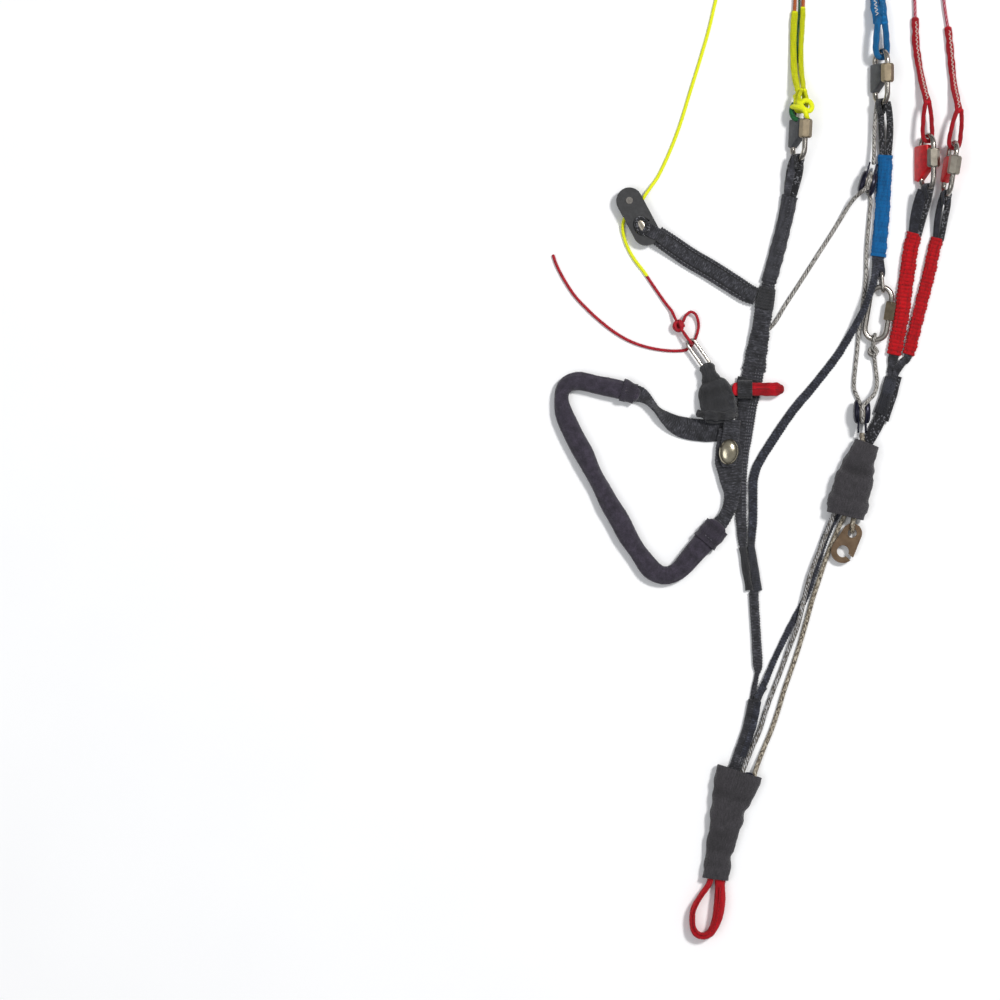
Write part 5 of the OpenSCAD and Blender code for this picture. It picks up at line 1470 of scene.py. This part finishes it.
def inflate(obj, name, cap, frames=20, pressure=4.0):
    """Swells a closed mesh by cloth pressure, with no point moving further than cap."""
    rest = np.array([v.co for v in obj.data.vertices])
    sim = obj.modifiers.new("cloth", "CLOTH")
    s = sim.settings
    s.quality = 5
    s.mass = 0.3
    s.use_pressure = True
    s.uniform_pressure_force = pressure
    s.effector_weights.gravity = 0
    s.tension_stiffness = 8
    s.compression_stiffness = 8
    s.bending_stiffness = 0.6
    sim.point_cache.frame_start = 1
    sim.point_cache.frame_end = frames
    for f in range(1, frames + 1):
        bpy.context.scene.frame_set(f)
    out = applied(obj, name)
    bpy.context.scene.frame_set(1)
    now = np.array([v.co for v in out.data.vertices])
    move = now - rest
    size = np.linalg.norm(move, axis=1, keepdims=True)
    now = rest + move * np.minimum(1, cap / np.maximum(size, 1e-9))
    now[:, 2] = np.maximum(now[:, 2], 0.12 * MM)
    out.data.vertices.foreach_set("co", now.astype(np.float32).ravel())
    return out


def mark_along(obj, route):
    """Stores the distance along the route and across it, for the weave."""
    co = np.array([v.co for v in obj.data.vertices])
    nearest = np.empty(len(co), int)
    for start in range(0, len(co), 4000):
        part = co[start:start + 4000]
        gap = ((part[:, None, :] - route.p[None]) ** 2).sum(2)
        nearest[start:start + 4000] = gap.argmin(1)
    away = co - route.p[nearest]
    across = (away * route.a[nearest]).sum(1)
    up = (away * route.b[nearest]).sum(1)
    for key, value in (("along", route.s[nearest]), ("across", across), ("fleck", across * 0),
            ("relief", across * 0 + 0.7)):
        attribute = obj.data.attributes.new(key, "FLOAT", "POINT")
        attribute.data.foreach_set("value", value.astype(np.float32))
    return nearest, across, up


def handle_grip():
    wide = Route(GRIP, 0.8, grow=(-1.2, -0.9))
    start = loft("grip_start", wide, oval(30, 0.8), wrinkles(0.25, 91, 0.1, 0.4), ends="round")
    remesh = start.modifiers.new("voxels", "REMESH")
    remesh.mode = "VOXEL"
    remesh.voxel_size = 1.7 * MM
    grip = applied(start, "grip_padding")
    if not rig.quick():
        grip = inflate(grip, "grip_padding", 1.3 * MM)
    route = Route(GRIP, 0.4)
    smooth = grip.modifiers.new("smooth", "SUBSURF")
    smooth.levels = 1
    smooth.render_levels = 1
    grip = applied(grip, "grip_padding")
    nearest, across, up = mark_along(grip, route)
    co = np.array([v.co for v in grip.data.vertices])
    s = route.s[nearest]
    crease = ripple(s / MM, across / MM * 0.7, 95, 8, 0.25, 0.9) * 0.16 * MM
    seam = -0.5 * MM * np.exp(-((across - 4.6 * MM) / (0.5 * MM)) ** 2) * (up > 0)
    push = (crease + seam) * np.clip((co[:, 2] - 1 * MM) / (3 * MM), 0, 1)
    co += route.b[nearest] * push[:, None]
    grip.data.vertices.foreach_set("co", co.astype(np.float32).ravel())
    grip.data.polygons.foreach_set("use_smooth", [True] * len(grip.data.polygons))
    dress(grip, "grip", "handle", "handle_grip")
    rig.padded(grip, 0.7)
    for name, part in (("upper", (0, 0.9)), ("lower", (15.1, 16))):
        cuff = Route(GRIP, 0.4, part=part, grow=(0.7, 0.6))
        tube(f"grip_hem_{name}", cuff, "grip", wrinkles(0.16, 97, 0.3, 0.9), 56, 0.7, "handle", wall=0.8
            * MM)
        middle = cuff.length * (0.72 if name == "upper" else 0.28)
        runs = hem_stitches(cuff, middle, np.linspace(-0.8, 0.8, 7), 0.06, 0.7, 0.4)
        stitched(f"grip_hem_{name}_stitches", runs, "thread_grey", 0.34, "handle")


def handle_ribbons():
    upper = Route(pts(1.6, (-78, 64.6, 3.8, 11), (-73, 63.6, 3.6, 10), (-67.8, 60, 3.6, 7.4, 1.6, 30),
        (-62.8, 54.4, 4, 6.6, 1.6, 50), (-57.4, 49.4, 3.8, 8.6, 1.6, 25), (-51.8, 45.4, 2.4, 11.4, 1.6, 8),
        (-46, 42.8, 1.3, 13.4), (-39.7, 41.4, 1.1, 14), (-31.4, 40.4, 1.1, 14), (-22, 40, 1.1, 12.6),
        (-13.4, 39.6, 1.1, 10)), 0.3)
    webbing("ribbon_upper", upper, "web", ribs(1.5, 0.2, slant=0.3), body="handle",
        stands_for="handle_ribbon", flat=16)
    lower = Route(pts(1.4, (-16.6, 42, 3.7, 12), (-16.6, 34.6, 3.7, 14), (-16.4, 27, 3.7, 16.6),
        (-16.2, 19.8, 3.7, 17.2), (-15, 9.4, 3.7, 14), (-14.4, 0.6, 3.7, 10.4), (-16, -8.3, 3.7, 8.8),
        (-19.4, -15.5, 3.7, 9), (-23, -20, 3.9, 10)), 0.3)
    webbing("ribbon_lower", uneven(lower, 0.3, 23, 0.3, 0.9), "web", ribs(1.9, 0.36), body="handle",
        flat=18)
    flap = Route(pts(1.5, (-14.2, 47.6, 6.05, 10.6), (-14.8, 40, 6.05, 10.4), (-16, 31, 6.05, 10.8),
        (-16.5, 23.5, 6.05, 11), (-16.6, 19.4, 6.05, 9.4), (-16.6, 17.2, 6.05, 6, 1.4)), 0.3)
    webbing("snap_flap_web", flap, "web", ribs(1.75, 0.3), body="flap", stands_for="snap_flap", flat=16)


def handle_head():
    points = pts(7.8, (-21.4, 48.7, 4.3, 20, 6.6), (-21.8, 51, 4.3, 22), (-23, 57, 4.4, 23, 8.2),
        (-24.8, 64, 4.4, 22.4, 8.2), (-26.4, 69.6, 4.4, 19.4), (-27.8, 73.4, 4.6, 13.4, 7),
        (-29, 77, 4.8, 10, 6.8), (-30.2, 80.6, 4.8, 9.6, 6.8))
    route = Route(points, 0.45)
    crease = wrinkles(0.5, 103, 0.25, 0.9)

    def relief(s, turn, y):
        neck = np.exp(-((s - 24.6 * MM) / (1.1 * MM)) ** 2) * -0.5 * MM
        under = np.clip((y + 3 * MM) / (2 * MM), 0.1, 1)
        folds = 0.35 * MM * np.exp(-((s - 4.4 * MM) / (0.8 * MM)) ** 2)
        return crease(s, turn, y) * under * 0.5 + neck + folds * (y > 0)
    tube("handle_head_cloth", route, "blackrib", relief, 64, 0.5, "handle", "handle_head", ends="round")
    fold = Route(pts(2.2, (-36.4, 51.6, 6.8, 4.4, 2), (-30, 50.6, 8.4, 5.2), (-22, 49.8, 8.9, 5.4),
        (-14.6, 50.4, 8.2, 5), (-11.6, 51.4, 6, 4, 2)), 0.3)
    tube("handle_head_fold", uneven(fold, 0.3, 29), "blackrib", wrinkles(0.2, 107, 0.5, 1.6), 28, 0.7,
        "handle", ends="round")
    edge = Route(pts(2, (-13.2, 52, 7.4, 3), (-14, 58, 7.8, 3.2), (-15.8, 65, 7.6, 3),
        (-18, 70, 6.8, 2.6, 1.8)), 0.3)
    tube("handle_head_edge", uneven(edge, 0.25, 33), "web", wrinkles(0.16, 109, 0.6, 1.8), 24, 0.7,
        "handle", ends="round")
    fray = []
    dice = np.random.default_rng(5)
    for x in np.linspace(-31.4, -11.4, 70):
        base = np.array([x, 48.3 + 0.9 * dice.uniform(), 3.2 + 3.5 * dice.uniform()]) * MM
        tip = base + np.array([dice.normal(0, 0.5), -dice.uniform(0.5, 1.6), dice.normal(0, 0.4)]) * MM
        fray.append([base, (base + tip) / 2 + np.array([0, 0, 0.2 * MM]), tip])
    stitched("handle_head_fray", fray, "thread_grey", 0.2, "handle")
    runs = row_of_stitches(Route(pts(0.1, (-31, 52.4, 8.15, 3), (-22, 51.6, 8.35, 3),
        (-13.6, 51.8, 8.1, 3)), 0.3), 0, 0.5 * MM, 17 * MM, 2.1, 0.6, 0.25)
    stitched("handle_head_stitches", runs, "thread_grey", 0.34, "handle")


# ---- Hardware ----
def hex_nut(link, at, across_flats, finish, spin, length=12.0):
    """A hexagonal nut with chamfered ends and a bore, on a link's straight bar."""
    count = 96
    bore = ROD / 2 + 0.05
    angle = np.arange(count) * 2 * math.pi / count
    flat = across_flats / 2 / np.cos(np.mod(angle - math.radians(spin), math.pi / 3) - math.pi / 6)
    stations = np.concatenate([[0, 0.08], np.linspace(0.3, 1.5, 7), [length / 2]])
    stations = np.concatenate([stations, length - stations[-2::-1]])
    rings = []
    for y in stations:
        end = min(y, length - y)
        limit = across_flats / 2 * 0.93 + end * 0.75
        r = np.minimum(flat, limit)
        rings.append(np.stack([r * np.cos(angle), np.full(count, y), r * np.sin(angle)], 1))
    hole = [np.stack([bore * np.cos(angle), np.full(count, y), bore * np.sin(angle)], 1)
        for y in (length, 0)]
    verts = np.vstack(rings + hole + [rings[0]])
    # The threaded bar runs beside the link's middle line, and the nut sits a little above its middle
    verts = verts + np.array((13.8 / 2, 2.5 - length / 2, 0))
    faces = tube_faces(len(rings) + 3, count, flip=True)
    obj = build(f"{link}_hex_nut", loop_points(verts, at) * MM, faces)
    obj.data.set_sharp_from_angle(angle=math.radians(28))
    return dress(obj, finish, f"{link}_nut", f"{link}_nut")


def insert(name, at, finish, stands_for=(), size=1.0):
    """The moulded clip beside the nut, which closes the link's back bar."""
    outline = [(-9.1, -9.2), (-9.1, 8.2), (-3, 8.8), (2.4, 8.8), (2.4, -3.4), (-1.6, -6.4), (-6.2, -9.9)]
    thick = 5.2
    bm = bmesh.new()
    m = link_matrix(at)
    rings = []
    for z in (-thick / 2, thick / 2):
        rings.append([bm.verts.new((m @ Vector((x * size, y * size, z))) * MM) for x, y in outline])
    count = len(outline)
    for k in range(count):
        j = (k + 1) % count
        bm.faces.new((rings[0][k], rings[0][j], rings[1][j], rings[1][k]))
    bm.faces.new(rings[0][::-1])
    bm.faces.new(rings[1])
    bmesh.ops.recalc_face_normals(bm, faces=bm.faces)
    bmesh.ops.bevel(bm, geom=bm.edges[:] + bm.verts[:], offset=0.7 * MM, segments=3, profile=0.5,
        affect="EDGES")
    mesh = bpy.data.meshes.new(name)
    bm.to_mesh(mesh)
    bm.free()
    mesh.polygons.foreach_set("use_smooth", [True] * len(mesh.polygons))
    return dress(put(name, mesh), finish, "riser", stands_for)


def dome(name, centre, turn, profile, wide, tall, finish, body="riser", stands_for=()):
    """A dome on an oval base. profile pairs heights with shares of the base's size."""
    count = 48
    angle = np.arange(count) * 2 * math.pi / count
    rings = [np.stack([np.cos(angle) * wide * share, np.sin(angle) * tall * share, np.full(count, up)], 1)
        for up, share in profile]
    verts = np.vstack(rings) @ np.array(turn.to_3x3()).T + np.array(centre)
    obj = build(name, verts * MM, tube_faces(len(rings), count)
        + [list(range(count - 1, -1, -1)), [(len(rings) - 1) * count + k for k in range(count)]])
    obj.data.set_sharp_from_angle(angle=math.radians(50))
    return dress(obj, finish, body, stands_for)


def pulley_caps(name, place, heading):
    """The domed cheek covers of an upright pulley."""
    turn = Matrix.Rotation(-heading, 4, "Z")
    profile = [(0, 1), (0.9, 1), (1.6, 0.95), (2.2, 0.82), (2.6, 0.6), (2.8, 0.3), (2.85, 0.05)]
    for side in (-1, 1):
        lean = turn @ Matrix.Rotation(side * math.pi / 2, 4, "Y")
        offset = turn.to_3x3() @ Vector((side * 2.7, -1.2, -0.6))
        dome(f"{name}_cap_{'left' if side < 0 else 'right'}", Vector(place) + offset, lean, profile, 5.6,
            7.6, "navy")


def hardware():
    for node in ("c_link", "b_link", "a1_link", "a2_link", "oval_link", "b_ring", "swivel_ring",
            "pulley_pins", "snap_stud"):
        keep(node, "steel")
    for node in ("a_sheave", "b_sheave", "base_sheave", "speed_sheave", "brake_sheave"):
        keep(node, "sheave")
    keep("link_pulley_cheeks", "navy", 0.22)
    keep("speed_pulley_cheeks", "navy", 0.22)
    keep("brake_pulley_body", "block", 0.5)
    keep("brummel_hook", "hook", 0.35)
    keep("swivel_barrel", "steel", 0.25)
    dome("snap_cap_dome", (-16.5, 27, 6.8), Matrix.Rotation(math.radians(-8), 4, "Z"),
        [(0, 1), (0.5, 1.04), (1, 1), (1.6, 0.93), (2.3, 0.78), (2.8, 0.58), (3.1, 0.34), (3.2, 0.06)],
        5.9, 7.9, "snap", "flap", "snap_cap")
    insert("c_insert_plate", C_AT, "insert", "dark_inserts")
    insert("b_insert_plate", B_AT, "insert")
    insert("a1_insert_plate", A1_AT, "red_insert", "red_inserts", 1.25)
    insert("a2_insert_plate", A2_AT, "red_insert", (), 0.9)
    pulley_caps("a_pulley", A_PULLEY, math.pi)
    pulley_caps("b_pulley", B_PULLEY, B_HEADING)
    for link, at, finish, width, spin in (("c", C_AT, "nut_champagne", 7.2, 0),
            ("b", B_AT, "nut_champagne", 7.2, 0), ("a1", A1_AT, "nut_steel", 7.2, 0),
            ("a2", A2_AT, "nut_steel", 7.2, 0), ("oval", OVAL_AT, "nut_champagne", 6.2, 30)):
        hex_nut(link, at, width, finish, spin)


make_camera()
make_studio()
make_table()
c_strap()
b_strap()
a_strap()
root_and_tubes()
hang_loop()
sleeves()
brake_strap()
becket_ring()
keeper_and_peg()
rigging()
lines()
declare_lines()
brake()
handle_grip()
handle_ribbons()
handle_head()
hardware()

with open("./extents.json", "w") as out:
    json.dump({"cad": [list(c) for c in cad_box], "visual": [list(c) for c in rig.bounds()]}, out)
